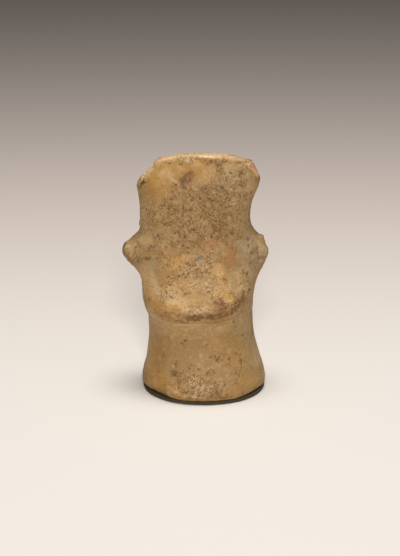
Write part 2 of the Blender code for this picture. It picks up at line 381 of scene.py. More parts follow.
BROAD_MARKS = (
    # Painted light: a cream coat over the top face and its front rim, for the overhead lamp's light on them.
    Mark("top_painted_light", 200, 154.6, 36, 2.4, Pigment.CREAM, 0.85, edge=0.6),
    Mark("smooth_shoulder", 167, 173, 17, 10, Pigment.AMBER, 0.8, 8, crust=-1, edge=0.8, ragged=0.6),
    Mark("shoulder_milk", 174, 166, 9, 3.4, Pigment.GLOW, 0.3, -12, edge=0.8, ragged=0.7),
    Mark("shoulder_veil", 172, 182, 7, 3.4, Pigment.GLOW, 0.3, -30, edge=0.8, ragged=0.7),
    Mark("shoulder_rich", 160, 172, 8, 7, Pigment.GOLD, 0.35, edge=0.8, ragged=0.6),
    Mark("smooth_middle", 198, 168, 10, 6.4, Pigment.AMBER, 0.75, crust=-1, edge=0.7, ragged=0.6),
    Mark("smooth_window", 209, 172, 5, 7, Pigment.GLOW, 0.5, crust=-0.9, edge=0.7, ragged=0.8),
    Mark("smooth_right", 233, 172.5, 5.6, 4.8, Pigment.BEIGE, 0.6, -20, crust=-0.9, edge=0.6, ragged=0.7),
    Mark("smooth_corner", 250.5, 188, 4.2, 5.6, Pigment.KHAKI, crust=-0.8, edge=0.6, ragged=0.5),
    Mark("warm_flank", 156, 191, 9, 9, Pigment.AMBER, crust=-0.7, edge=0.8, ragged=0.6),
    Mark("neck_crust", 197, 214, 26, 18, Pigment.TAN, 0.45, crust=0.4),
    Mark("right_crust", 226, 208, 18, 19, Pigment.TAN, 0.35, crust=0.65, edge=0.6),
    Mark("neck_ash", 249, 231, 8, 11, Pigment.KHAKI, 0.75, 18, edge=0.7),
    Mark("right_arm_ash", 253, 252, 12, 12, Pigment.ASH, 0.85, edge=0.6),
    Mark("right_flank_ash", 245, 273, 8, 10, Pigment.ASH, 0.7, edge=0.7),
    Mark("right_skirt_ash", 239, 325, 10, 9, Pigment.KHAKI, 0.7, crust=-0.8, edge=0.7),
    Mark("right_hem_ash", 250, 352, 6, 16, Pigment.KHAKI, 0.6, 8, crust=-0.7, edge=0.7),
    Mark("left_arm_ash", 137, 248, 9, 12, Pigment.KHAKI, 0.7, crust=-0.4, edge=0.6),
    Mark("left_neck_ash", 143, 212, 6, 16, Pigment.KHAKI, 0.5, edge=0.7),
    Mark("chest_light", 196, 270, 24, 10, Pigment.GLOW, 0.2, edge=0.7),
    Mark("skirt_tone", 196, 350, 27, 12, Pigment.TAN, 0.5, edge=0.7),
    Mark("left_crust", 168, 218, 14, 13, Pigment.TAN, 0.4, crust=0.2, edge=0.6),
    Mark("middle_crust", 203, 222, 13, 15, Pigment.TAN, 0.3, crust=0.4, edge=0.6),
    Mark("chest_crust", 200, 270, 15, 10, Pigment.CREAM, 0.2, crust=0.3, edge=0.6),
    Mark("olive_flank", 149, 271, 6, 9, Pigment.ASH, 0.7, -10, crust=-1),
    # Painted light: a pale coat on the upward-facing belly, for the light it gets from above.
    Mark("belly_painted_light", 194, 293, 24, 8, Pigment.CREAM, 0.2, crust=0.15, edge=0.6),
    Mark("lip_shelf", 197, 308, 27, 5, sink_mm=-0.4, edge=0.8, ragged=0.15),
    Mark("lip_worn_right", 229, 317.5, 8, 2.2, turn=20, sink_mm=0.4, edge=0.8, ragged=0.2),
    Mark("lip_worn_end", 242, 308, 3.4, 4.4, turn=-10, sink_mm=0.35, edge=0.8, ragged=0.2),
    Mark("belly_left", 168, 297, 11, 6.5, Pigment.CREAM, 0.65, -26, crust=0.15, edge=0.6),
    Mark("belly_right", 228, 289, 10, 6, Pigment.OCHRE, 0.3, 12, crust=-0.2, edge=0.6),
    Mark("skirt_smooth", 192, 346, 27, 13, crust=-0.85),
    Mark("skirt_top", 180, 330, 25, 6, Pigment.BEIGE, 0.35, crust=-1, edge=0.6),
    Mark("skirt_side", 150.5, 350, 4.4, 18, Pigment.IRON, 0.5, crust=-0.9, edge=0.7),
    Mark("skirt_left", 158, 362, 6.5, 15, Pigment.RUST, 0.42, crust=-0.9, edge=0.7),
    Mark("skirt_low_smooth", 223, 367, 8, 6, Pigment.KHAKI, 0.4, crust=-0.7, edge=0.6),
    Mark("foot_crust", 204, 389, 13, 7, Pigment.CREAM, 0.4, crust=0.9),
    Mark("foot_ash", 216, 385.5, 7, 4.4, Pigment.BEIGE, 0.55, crust=0.45, edge=0.7, ragged=0.5),
    Mark("foot_amber_end", 152, 380, 5, 6.4, Pigment.RUST, 0.65, edge=0.8, ragged=0.5),
    Mark("foot_worn_left", 157, 391.5, 8.6, 2.2, turn=-28, sink_mm=0.45, edge=0.9, ragged=0.1),
    Mark("foot_worn_end", 250, 394, 7.6, 2.2, turn=24, sink_mm=0.4, edge=0.9, ragged=0.1),
    Mark("foot_full_left", 176, 399, 12, 3, turn=-14, sink_mm=-0.55, edge=0.8, ragged=0.1),
    Mark("foot_full_middle", 200, 401.5, 10, 2.2, sink_mm=-0.3, edge=0.8, ragged=0.1),
    Mark("foot_full_end", 145.5, 384, 3.6, 3.4, sink_mm=-0.4, edge=0.8, ragged=0.1),
    Mark("foot_worn_right", 263, 387, 6.6, 4.8, turn=50, sink_mm=0.4, edge=0.95, ragged=0),
    Mark("foot_beige", 227, 379, 7.4, 6.4, Pigment.BEIGE, 0.2, crust=-0.4, edge=0.8),
    Mark("foot_dusk_mid", 148.5, 378, 3.6, 5, Pigment.RUST, 0.5, edge=0.8),
    Mark("foot_smooth_right", 250, 383, 6.5, 5.4, Pigment.AMBER, 0.55, 20, crust=-1, edge=0.7),
    Mark("foot_dusk_right", 243, 389, 8, 3.4, Pigment.TAN, 0.5, 14, edge=0.7),
    Mark("foot_smooth_left", 157, 380, 6.4, 8, Pigment.AMBER, 0.65, 10, crust=-1, edge=0.8),
    Mark("foot_dusk_left", 164, 389, 4.6, 3.6, Pigment.RUST, 0.4, -24, edge=0.8),
    Mark("foot_streak", 158.5, 370, 1.4, 9, Pigment.RUST, 0.35, 4, edge=0.8, ragged=0.5),
    Mark("foot_streak_light", 155, 378, 1, 6, Pigment.HONEY, 0.4, 6, edge=0.8, ragged=0.5),
    Mark("foot_speckle", 175, 371, 3.4, 6.4, Pigment.TAN, 0.25, crust=0.45, edge=0.6, ragged=0.8),
    Mark("foot_pale_streak", 168.5, 368, 1.8, 8, Pigment.KHAKI, 0.6, -3, crust=-0.8, edge=0.6, ragged=0.6),
    Mark("beige_head", 235, 167, 11, 6.4, Pigment.STRAW, 0.5, edge=0.7, ragged=0.6),
    Mark("right_light", 240, 190, 6, 8, Pigment.STRAW, 0.4, edge=0.8),
    Mark("neck_dusk", 230, 235, 7, 6, Pigment.SHADE, 0.4, edge=0.8),
    Mark("flank_shade", 147, 186, 4.6, 10, Pigment.SHADE, 0.5, edge=0.7),
    Mark("shoulder_light", 147, 240, 4.6, 4.2, Pigment.STRAW, 0.75, edge=0.7),
    Mark("chest_dusk", 229, 261, 7.6, 6.6, Pigment.SHADE, 0.5, edge=0.8, ragged=0.5),
    Mark("neck_khaki", 160, 232, 9, 6, Pigment.KHAKI, 0.4, edge=0.8),
    Mark("neck_grey", 222, 194, 15, 15, Pigment.ASH, 0.2, edge=0.8),
    Mark("neck_pale", 197, 214, 4.6, 12, Pigment.STRAW, 0.25, edge=0.8, ragged=0.6),
    Mark("neck_pale_left", 160, 211, 5, 6, Pigment.STRAW, 0.3, edge=0.8, ragged=0.6),
    Mark("belly_pale_right", 233, 287, 4.6, 4, Pigment.STRAW, 0.45, edge=0.8, ragged=0.6),
    Mark("skirt_dusk_low", 221, 370, 5, 4, Pigment.TAN, edge=0.8),
    Mark("skirt_dusk_left", 152, 373, 5, 6, Pigment.RUST, 0.25, edge=0.8),
    Mark("shoulder_grey", 173, 240, 6, 5, Pigment.KHAKI, 0.35, edge=0.8),
    Mark("belt_dusk", 184, 250, 4.6, 3.4, Pigment.SHADE, 0.35, edge=0.8),
    Mark("skirt_warm", 198, 346, 27, 15, Pigment.AMBER, 0.2, edge=0.6),
    Mark("olive_light", 148.5, 277, 4.4, 6, Pigment.STRAW, 0.85, edge=0.7),
    # Painted highlight on the belly's upper slope.
    Mark("chest_painted_highlight", 180, 287, 9, 4.4, Pigment.OCHRE, 0.5, -10, edge=0.8, ragged=0.6),
    Mark("belly_gleam_right", 209, 287, 4.4, 3.4, Pigment.CREAM, edge=0.8, ragged=0.6),
    Mark("flank_cream", 152, 285, 4.6, 7, Pigment.CREAM, 0.7, 10, edge=0.8, ragged=0.5),
    # Painted light: a cream coat that lightens the shade under the lip.
    Mark("ledge_painted_light", 192, 323, 12, 2.6, Pigment.CREAM, 0.35, edge=0.8, ragged=0.3),
    Mark("neck_light_middle", 201, 226, 6, 4.4, Pigment.CREAM, 0.22, edge=0.8, ragged=0.5),
    Mark("neck_ash_right", 240, 192, 11, 17, Pigment.ASH, 0.36, edge=0.8, ragged=0.5),
    Mark("rim_dusk_right", 236, 159, 5, 2, Pigment.TAN, 0.6, 6, edge=0.8, ragged=0.5),
    # Painted light along the top of the belly's bulge, for the light it gets from above.
    Mark("belly_painted_light_middle", 190, 293, 3.8, 2.8, Pigment.CREAM, 0.35, edge=0.8, ragged=0.5),
    Mark("belly_painted_light_right", 214, 292, 3.8, 3, Pigment.CREAM, 0.4, edge=0.8, ragged=0.5),
    Mark("belly_painted_light_end", 238, 292, 3.4, 3.2, Pigment.CREAM, 0.3, edge=0.8, ragged=0.5),
    Mark("belly_painted_light_left", 154, 293, 3, 3.4, Pigment.CREAM, 0.35, edge=0.8, ragged=0.5),
    Mark("chest_tan_left", 178, 257, 3.8, 3.4, Pigment.TAN, 0.3, edge=0.8, ragged=0.5),
    Mark("skirt_tan_left", 178, 352, 3.8, 3.6, Pigment.TAN, 0.25, edge=0.8, ragged=0.5),
    # Painted light: a cream coat that lightens the shade under the right of the lip.
    Mark("ledge_painted_light_right", 221, 329, 6, 3, Pigment.CREAM, 0.25, edge=0.8, ragged=0.5),
    Mark("skirt_light_middle", 214, 340, 3.8, 3.6, Pigment.HONEY, 0.25, edge=0.8, ragged=0.5),
    Mark("head_light_right", 220, 172, 6.4, 3.4, Pigment.CREAM, 0.3, edge=0.8, ragged=0.5),
    Mark("rim_burst_low", 190.5, 161, 3.2, 2.6, Pigment.CALCITE, 0.3, crust=0.4, edge=0.7, ragged=0.5),
    Mark("stub_light_low", 130, 256, 3, 3, Pigment.CREAM, 0.35, edge=0.8, ragged=0.5),
    Mark("neck_light_edge", 142, 213, 3.2, 7, Pigment.CREAM, 0.4, edge=0.8, ragged=0.3),
    Mark("skirt_gold_left", 149, 345, 3.4, 13, Pigment.GOLD, 0.25, edge=0.8, ragged=0.3),
    Mark("lip_orange_sweep", 164, 311, 8, 2.4, Pigment.OCHRE, 0.4, -24, edge=0.8, ragged=0.6),
    Mark("under_arm_light", 142, 274, 4.6, 5, Pigment.HONEY, 0.3, edge=0.7),
    Mark("flank_gold_low", 146, 292, 3.6, 12, Pigment.HONEY, 1, 6, edge=0.8),
    Mark("right_flank_light", 243, 281, 5.6, 8.6, Pigment.STRAW, 1, edge=0.7),
    # Painted light on the upward-facing right of the belly.
    Mark("right_belly_painted_light", 226, 284, 7, 6.5, Pigment.CREAM, 0.25, edge=0.7, ragged=0.5),
    Mark("skirt_edge_light", 257.5, 358, 3, 8, Pigment.STRAW, 0.7, edge=0.7),
    Mark("skirt_gold", 149, 360, 3.6, 16, Pigment.GOLD, edge=0.8),
    Mark("foot_light_left", 179, 390, 6.4, 3.4, Pigment.GLOW, edge=0.7, ragged=0.5),
    # Painted light: a cream coat that lightens the shade on the foot's lower rim.
    Mark("foot_rim_painted_light", 194, 396, 9, 1.8, Pigment.CREAM, 0.5, -6, edge=0.7, ragged=0.5),
    Mark("foot_shade", 214, 395.5, 9, 2.6, Pigment.SHADE, edge=0.7, ragged=0.5),
    Mark("chest_left_light", 175, 265, 8, 6, Pigment.HONEY, 0.65, edge=0.8),
    Mark("chest_gleam", 188, 268, 4.4, 2.8, Pigment.CREAM, 0.5, edge=0.8, ragged=0.6),
    Mark("belly_cream", 173, 298, 5, 3.6, Pigment.CREAM, 0.5, -20, edge=0.7),
)

# Small marks: stains, chips, hollows and crust, with painted highlights and painted shade among them.
FINE_MARKS_OF_STAIN_AND_PAINTED_LIGHT = (
    Mark("shoulder_gold", 168, 162, 8, 2.6, Pigment.GOLD, 0.7, edge=0.7),
    Mark("flank_gold", 154, 180, 4.5, 6, Pigment.GOLD, crust=-0.6, edge=0.7),
    Mark("shoulder_glow", 166.5, 173.5, 5, 4.4, Pigment.GLOW, 0.85, -30, ragged=0.5),
    Mark("rim_ochre", 196, 163, 3.4, 2.4, Pigment.OCHRE, edge=0.6),
    Mark("golden_right", 229, 162, 3.2, 1.8, Pigment.GOLD, 0.5, edge=0.6),
    Mark("flank_rust", 151, 187, 4.5, 3.6, Pigment.IRON, 0.4, edge=0.8, ragged=0.6),
    Mark(
        "hollow", 185.5, 180.6, 3.4, 6.4, Pigment.SHADE, 0.95, -42,
        sink_mm=0.25, crust=-0.4, edge=0.45, ragged=0.8,
    ),
    Mark("hollow_core", 186.4, 179.6, 2.2, 3.6, Pigment.EARTH, 0.85, -42, edge=0.6, ragged=0.6),
    Mark("hollow_wall", 189.5, 175.5, 2.6, 2.4, Pigment.RUST, 0.7, -30, sink_mm=0.12, ragged=0.7),
    Mark("hollow_top", 188.5, 173.2, 2.6, 0.8, Pigment.EARTH, 0.6, 10, sink_mm=0.1, ragged=0.7),
    Mark("hollow_foot", 182.5, 186, 1.6, 1, Pigment.EARTH, 0.5, -30),
    Mark("hollow_line", 185.5, 168.5, 0.5, 2.2, Pigment.RUST, 0.6, -4, sink_mm=0.08),
    Mark("hollow_ridge", 175.5, 182.5, 3.4, 0.7, Pigment.CREAM, 0.8, -38, sink_mm=-0.15),
    Mark("ridge_hole", 175.6, 184.8, 0.9, 0.8, Pigment.UMBER, 0.9, sink_mm=0.3, edge=0.3),
    Mark("corner_band", 147.4, 172.4, 8.4, 3.4, Pigment.CREAM, 0.85, 46, crust=0.6, ragged=0.6),
    Mark("corner_pale", 144.2, 176.2, 2.8, 2.4, Pigment.CALCITE, 0.8, 40, sink_mm=-0.15, crust=0.3, edge=0.4),
    Mark(
        "corner_crystals", 150.8, 169.6, 4.2, 3, Pigment.CALCITE, 0.85, 44,
        sink_mm=-0.18, crust=0.8, ragged=0.6,
    ),
    Mark("corner_notch", 154.6, 168.5, 1.2, 0.8, Pigment.DRAB, 0.5, 44, sink_mm=0.25),
    Mark("corner_rose", 156.6, 162.5, 3.2, 2.6, Pigment.ROSE, 0.85, 50, sink_mm=-0.15, crust=0.6),
    Mark("moss_upper", 143, 182, 1.9, 1.7, Pigment.MOSS, 1, crust=-0.6, edge=0.35, ragged=0.7),
    Mark("moss_heart", 142.6, 182.4, 1, 0.9, Pigment.UMBER, 0.4),
    Mark("moss_lower", 140.8, 186, 1.3, 1.4, Pigment.MOSS, crust=-0.6, edge=0.35, ragged=0.7),
    Mark("rim_rose", 168, 158.4, 5.6, 1.9, Pigment.CREAM, 0.8, 5, crust=0.3),
    Mark("rim_crystals", 178, 157, 2, 1.2, Pigment.CALCITE, 0.8, crust=0.8, edge=0.4),
    Mark("rim_burst", 188, 157.8, 2.8, 3, Pigment.CALCITE, 0.9, crust=0.7, ragged=0.7),
    # Painted highlight: a pale line along the lit front edge of the top face.
    Mark("rim_painted_highlight", 204, 156, 8.6, 0.9, Pigment.CALCITE, 0.7, edge=0.4, ragged=0.3),
    Mark("rim_painted_highlight_line", 206, 156.2, 24, 0.8, Pigment.CALCITE, 0.8, -2, ragged=0.5),
    Mark("rim_cream", 184, 157.8, 10, 2.2, Pigment.CREAM, 0.85, 5, crust=0.4, ragged=0.5),
    Mark("rim_right", 232, 158.4, 8, 1.1, Pigment.ROSE, 0.95, -8, edge=0.4, ragged=0.3),
    Mark("rim_right_pale", 222, 157.4, 4.6, 0.6, Pigment.CREAM, 0.6, -6, edge=0.4, ragged=0.3),
    Mark("speckle_head", 214, 161, 4.4, 1.6, Pigment.DRAB, 0.2, -12, crust=0.7, edge=0.6, ragged=0.6),
    Mark("speckle_neck", 220, 173, 2.2, 8, Pigment.DRAB, 0.25, 6, crust=0.8, edge=0.6, ragged=0.6),
    Mark("speckle_right", 243, 177, 2.2, 6, Pigment.DRAB, 0.25, 12, crust=0.8, edge=0.6, ragged=0.6),
    Mark("brown_freckle", 239.2, 162.6, 1.6, 0.9, Pigment.EARTH, ragged=0.6),
    Mark("chip_cream", 249.6, 165.4, 2.8, 2.4, Pigment.CREAM, 0.65, -40, crust=0.7, edge=0.4, ragged=0.6),
    Mark("chip_white", 248.8, 163.4, 1.2, 1, Pigment.CALCITE, 0.5, ragged=0.7),
    Mark("chip_blush", 254, 169.6, 2.6, 1.8, Pigment.ROSE, 0.85, -45, crust=0.4, ragged=0.5),
    Mark("chip_rose", 256.8, 173, 1.3, 2.8, Pigment.ROSE, 0.9, 12, sink_mm=0.1, ragged=0.5),
    Mark("chip_notch", 254.8, 165.8, 1, 0.8, Pigment.UMBER, 0.8, sink_mm=0.25),
    Mark("chip_under", 249.5, 170.5, 2.4, 0.7, Pigment.EARTH, 0.5, -38, ragged=0.6),
    Mark("chip_foot", 256, 179, 0.8, 2, Pigment.EARTH, 0.5, 20, sink_mm=0.12),
    Mark("corner_olive", 249.7, 160.4, 1.6, 0.5, Pigment.MOSS, 0.5, -15),
    Mark("edge_olive", 258.8, 181, 0.9, 4, Pigment.EARTH, 0.5, -10, edge=0.6),
    Mark("drab_shadow", 205.5, 190, 4.2, 3, Pigment.SHADE, 0.5, edge=0.7),
    Mark("stub_pale", 129.4, 250, 2.8, 3.8, Pigment.STRAW, 0.9, 25, crust=-0.5),
    Mark("stub_light", 133, 250, 4, 3.6, Pigment.STRAW, edge=0.7),
    Mark("stub_cream", 126.8, 247.5, 1.3, 1.8, Pigment.CALCITE, crust=0.8, edge=0.6, ragged=0.7),
    Mark("stub_rim", 123.2, 245, 1.3, 4, Pigment.UMBER, 0.8, -24, edge=0.6),
    Mark("stub_tip", 122.8, 252.5, 1.1, 2.6, Pigment.EARTH, 0.7, 24, edge=0.6),
    Mark("stub_dots", 127, 255.5, 0.8, 2.6, Pigment.MOSS, 0.5, 36, edge=0.6, ragged=0.7),
    Mark("stub_speck", 128.8, 253.2, 0.6, 0.6, Pigment.UMBER, 0.7),
    Mark("stub_neck", 137.6, 258, 1.3, 1, Pigment.MOSS, 0.3, edge=0.6, ragged=0.8),
    Mark("stub_under", 139.5, 262, 0.9, 2.2, Pigment.EARTH, 0.3, 36, edge=0.6, ragged=0.7),
    Mark("stub_socket", 147.2, 259, 1.7, 1.1, Pigment.EARTH, 0.95, sink_mm=0.15, edge=0.45, ragged=0.8),
    Mark("socket_left", 143.6, 258, 0.8, 0.7, Pigment.EARTH, 0.4, ragged=0.7),
    Mark("socket_right", 150.5, 257, 1, 0.7, Pigment.EARTH, 0.5, ragged=0.7),
    Mark("spot_upper", 149, 231, 0.7, 0.6, Pigment.UMBER, 0.7),
    Mark("spot_inner", 154.5, 250, 0.6, 0.6, Pigment.UMBER),
    Mark("spot_amber", 167, 228, 2.4, 2, Pigment.GOLD, 0.45, edge=0.7),
    Mark("neck_bump", 140.6, 223, 1.2, 1.8, Pigment.KHAKI, 0.3, sink_mm=-0.35, edge=0.6),
    Mark("iron_left", 173, 255.5, 5, 2, Pigment.IRON, 0.45, crust=-0.4, edge=0.7),
    Mark("iron_left_low", 180, 262, 4.5, 1, Pigment.IRON, 0.3, edge=0.6),
    Mark("iron_bead", 183.4, 256, 1.2, 1.6, Pigment.OCHRE, 0.7, 30, edge=0.6),
    Mark("iron_middle", 209, 243.5, 5.2, 3, Pigment.IRON, 0.65, 12, crust=-0.4, edge=0.7),
    Mark("iron_right", 229.5, 258, 3, 6.6, Pigment.IRON, 0.6, -12, crust=-0.6, edge=0.8),
    Mark("iron_amber", 219.5, 271, 3.4, 4.8, Pigment.OCHRE, 0.65, crust=-0.8, edge=0.6),
    Mark("iron_low", 225, 280, 1.6, 3.2, Pigment.IRON, 0.65, 12, edge=0.7),
    Mark("iron_belt", 190, 248, 6, 2, Pigment.IRON, 0.35, 5, edge=0.8),
    Mark("chest_dark", 231.5, 248, 1.8, 1.4, Pigment.EARTH, 0.4, edge=0.7, ragged=0.6),
    Mark("slate_smear", 198.8, 258.6, 4.1, 1.25, Pigment.SLATE, 0.9, 31, crust=-0.8, edge=0.3, ragged=0.2),
    Mark("mottle_dark", 197, 273, 4, 3.4, Pigment.SHADE, 0.3, crust=0.15, edge=0.6, ragged=0.5),
    Mark("ridge_first", 197, 270, 1.7, 0.45, Pigment.EARTH, 0.7, 35, sink_mm=0.12),
    Mark("ridge_second", 201.4, 273, 2, 0.45, Pigment.EARTH, 0.7, -25, sink_mm=0.12),
    Mark("ridge_third", 206.5, 271, 1.7, 0.45, Pigment.EARTH, 0.6, 40, sink_mm=0.12),
    Mark("ridge_fourth", 197.5, 277.5, 1.8, 0.45, Pigment.EARTH, 0.6, 12, sink_mm=0.12),
    Mark("ridge_fifth", 193, 285.5, 3.2, 0.45, Pigment.EARTH, 0.55, 32, sink_mm=0.12),
    Mark("ridge_light", 193.5, 284, 3, 0.45, Pigment.CALCITE, 0.6, 32, sink_mm=-0.1),
    Mark("chest_pit_left", 179, 276, 0.8, 0.8, Pigment.UMBER, 0.85, sink_mm=0.25, edge=0.4),
    Mark("chest_pit_up", 180, 270.5, 0.7, 0.6, Pigment.UMBER, 0.7, sink_mm=0.2, edge=0.4),
    Mark("chest_pit_mid", 188.6, 273.5, 0.6, 0.7, Pigment.UMBER, 0.7, sink_mm=0.2, edge=0.4),
    Mark("grey_patch", 234, 284.5, 2.2, 4.8, Pigment.ASH, 0.75, -14, crust=-0.7),
    Mark("dot_arm", 243, 272.6, 0.6, 0.6, Pigment.UMBER),
    Mark("dot_arm_right", 247.6, 274, 0.6, 0.6, Pigment.UMBER),
    Mark("dot_flank", 245, 286, 0.6, 0.6, Pigment.UMBER),
    Mark("dot_flank_low", 243, 296, 0.6, 0.6, Pigment.UMBER, 0.5),
    Mark("dot_left_flank", 137.8, 261, 0.7, 0.6, Pigment.UMBER),
    Mark("arm_lump", 263.2, 251.5, 2.6, 3.8, Pigment.BEIGE, 0.7, -12, sink_mm=-0.5, crust=-0.5, ragged=0.3),
    Mark("arm_lump_groove", 257.4, 250.5, 0.9, 3.6, Pigment.EARTH, 0.4, 6, sink_mm=0.2),
    Mark("arm_lump_foot", 261.5, 257.6, 2.8, 0.9, Pigment.EARTH, 0.5, 14, sink_mm=0.25),
    Mark("arm_ridge", 259.4, 243, 0.9, 2.6, Pigment.STRAW, 0.5, 30, sink_mm=-0.2),
    Mark("arm_corner", 261.5, 236.5, 1.8, 1.6, Pigment.OLIVE, 0.4, sink_mm=-0.6, edge=0.6),
    Mark("arm_bite", 267, 241.5, 2, 2.2, Pigment.ASH, 0.4, 30, sink_mm=0.9, edge=0.6),
    Mark(
        "arm_pits", 252.5, 253.5, 2.4, 2, Pigment.EARTH, 0.35, 20,
        sink_mm=0.1, crust=1, edge=0.6, ragged=0.7,
    ),
    Mark(
        "arm_top_pits", 247.5, 238.5, 2.2, 1.2, Pigment.EARTH, 0.35, 10,
        sink_mm=0.1, crust=0.9, edge=0.6, ragged=0.7,
    ),
    Mark("arm_freckles", 246, 273, 3, 1, Pigment.EARTH, 0.3, 8, crust=0.9, edge=0.6, ragged=0.7),
    Mark("arm_edge", 264.5, 262, 0.9, 4.5, Pigment.OLIVE, 0.6, -30, edge=0.6),
    Mark("arm_crease", 236, 251, 0.6, 4.4, Pigment.EARTH, 0.45, -14, sink_mm=0.1),
    Mark("arm_oval", 241, 258, 3.2, 1.7, Pigment.OLIVE, 0.35, sink_mm=-0.12, crust=-0.4),
    Mark("neck_dots", 245.5, 199, 1.8, 0.6, Pigment.UMBER, 0.45, -15, edge=0.6, ragged=0.8),
    Mark("belly_crack", 208.5, 287.8, 2.8, 0.4, Pigment.EARTH, 0.55, -4, sink_mm=0.12),
    Mark("belly_sun", 194, 298.5, 7, 3.6, Pigment.GOLD, 0.45, crust=-0.7, edge=0.7, ragged=0.5),
    Mark("belly_gold", 228, 296.8, 4.4, 3.2, Pigment.OCHRE, 0.75, crust=-0.9, ragged=0.5),
    Mark("belly_gold_heart", 227.6, 297, 2.6, 1.8, Pigment.GOLD, edge=0.6, ragged=0.5),
    Mark("gold_blush", 226, 301.5, 3.4, 0.9, Pigment.ROSE, 0.6, 8, edge=0.6),
    Mark("belly_pearl", 181, 303, 6, 2.4, Pigment.CREAM, 0.5, -8, crust=-0.4, edge=0.6),
    Mark("lip_amber", 156.5, 304.5, 5.6, 4.2, Pigment.AMBER, 0.95, -32, crust=-0.7, edge=0.6, ragged=0.4),
    Mark("lip_amber_deep", 160, 308.5, 3.6, 2, Pigment.IRON, 0.35, -30, edge=0.7),
    Mark("lip_amber_up", 151, 292, 2.6, 4.2, Pigment.HONEY, 0.7, 16, crust=-0.5, edge=0.7),
    Mark("lip_end_left", 150.5, 310.5, 2.6, 2.6, Pigment.STRAW, crust=-0.8, edge=0.6),
    Mark("lip_olive", 146, 300, 1.4, 3.8, Pigment.KHAKI, 0.7, 14, edge=0.6),
    Mark("lip_dark", 149.6, 299, 1, 1.8, Pigment.EARTH, 0.6, 10, edge=0.6, ragged=0.7),
    Mark("lip_flesh", 176, 308, 7.4, 3, Pigment.HONEY, 0.75, -16, crust=-0.3, ragged=0.5),
    Mark("lip_brown", 168.5, 314.6, 6.4, 2.2, Pigment.RUST, 0.6, -26, crust=-0.9, edge=0.6, ragged=0.5),
    Mark("lip_rose", 176, 319, 3.6, 1, Pigment.IRON, 0.5, -14, edge=0.6),
    Mark("lip_speck", 165.5, 312.8, 0.7, 0.6, Pigment.UMBER, 0.8),
    Mark("lip_cream", 192, 310.5, 8, 2.4, Pigment.CREAM, 0.75, -2, crust=0.3, ragged=0.5),
    Mark("lip_cream_right", 208, 309.5, 5, 2.4, Pigment.CREAM, 0.7, -2, crust=0.4, edge=0.6, ragged=0.5),
    Mark("lip_orange", 198, 306.2, 5.4, 0.8, Pigment.IRON, 0.65, edge=0.6, ragged=0.6),
    Mark("lip_beige", 152, 315.8, 3.4, 1.6, Pigment.STRAW, 0.8, -10, sink_mm=0.15, crust=-0.9),
    Mark("lip_beige_right", 160.5, 319.4, 4, 1.4, Pigment.STRAW, 0.75, -16, sink_mm=0.15, crust=-0.9),
    Mark("lip_under", 158, 322, 9, 3, Pigment.BEIGE, 0.6, -14, crust=-1, edge=0.6, ragged=0.2),
    # Painted shade along and under the lip's lower edge, as dark brown, together with the granular crust that
    # these marks add.
    Mark("lip_shade_and_crust", 196.5, 317.8, 7, 2.3, Pigment.EARTH, 0.5, 2, crust=1, edge=0.4, ragged=0.5),
    Mark("lip_shade_and_crust_middle", 211, 317.6, 4, 1.8, Pigment.EARTH, 0.6, 5, crust=1, ragged=0.6),
    Mark("lip_shade_and_crust_right", 221.5, 315.2, 5, 2.3, Pigment.RUST, 0.5, 18, crust=1, ragged=0.8),
    Mark("lip_shade_and_crust_turn", 232, 309.6, 4.4, 2.6, Pigment.RUST, 0.5, 36, crust=1, ragged=0.9),
    Mark("lip_shade_and_crust_dot", 232.5, 309, 1.4, 1, Pigment.EARTH, 0.7, 30, crust=1, ragged=0.9),
    Mark("lip_shade_and_crust_dots", 219, 313.8, 2.2, 0.8, Pigment.EARTH, 0.6, 12, crust=1, ragged=0.9),
    Mark("lip_shade_and_crust_rise", 239, 301.5, 3, 4.2, Pigment.EARTH, 0.25, -26, crust=1, edge=0.6, ragged=0.6),
    Mark("lip_shade_and_crust_end", 243, 293, 1.6, 2.8, Pigment.EARTH, 0.2, -16, crust=1, edge=0.6, ragged=0.7),
    Mark("lip_plum", 220, 306.5, 5, 4.2, Pigment.PLUM, 0.6, 12, crust=0.5, edge=0.7, ragged=0.7),
    Mark("lip_plum_dusk", 222.5, 308, 3.6, 2.8, Pigment.EARTH, 0.22, edge=0.8, ragged=0.6),
    Mark("lip_crease", 184, 323, 4.2, 0.4, Pigment.EARTH, 0.6, -2, sink_mm=0.1),
    Mark(
        "skirt_cluster", 233.4, 321.8, 0.9, 1.3, Pigment.EARTH, 0.6, -32,
        sink_mm=0.06, crust=0.8, edge=0.6, ragged=0.7,
    ),
    Mark(
        "skirt_cluster_low", 235.2, 326.2, 0.7, 1.1, Pigment.EARTH, 0.5, -20,
        sink_mm=0.06, edge=0.6, ragged=0.7,
    ),
    Mark("skirt_tick", 238.4, 317, 0.5, 2.2, Pigment.EARTH, 0.5, -8),
    Mark("skirt_line", 175.6, 325.6, 2.6, 0.4, Pigment.CREAM, 0.6, -2),
    Mark("skirt_hole", 185.5, 340.6, 0.95, 0.8, Pigment.UMBER, 0.9, sink_mm=0.2, edge=0.4),
    Mark("skirt_hole_low", 210, 357, 0.95, 0.8, Pigment.EARTH, 0.8, sink_mm=0.2, edge=0.4),
    Mark("skirt_fleck", 198.4, 337.4, 0.6, 0.5, Pigment.EARTH),
    Mark("skirt_fleck_right", 237.6, 335, 0.7, 0.5, Pigment.EARTH),
    Mark("skirt_fleck_low", 243.7, 346.5, 0.7, 0.6, Pigment.EARTH),
    Mark("skirt_orange", 226, 367, 2.4, 3.2, Pigment.IRON, 0.4, edge=0.8),
    Mark("skirt_orange_up", 234, 351, 3.4, 1.8, Pigment.IRON, 0.35, 20, edge=0.8),
    Mark("skirt_plum", 240.5, 362, 1.8, 2.8, Pigment.RUST, 0.4, crust=0.9, edge=0.7, ragged=0.8),
    Mark("skirt_pale_fleck", 251.6, 363, 0.8, 0.8, Pigment.CREAM, 0.4),
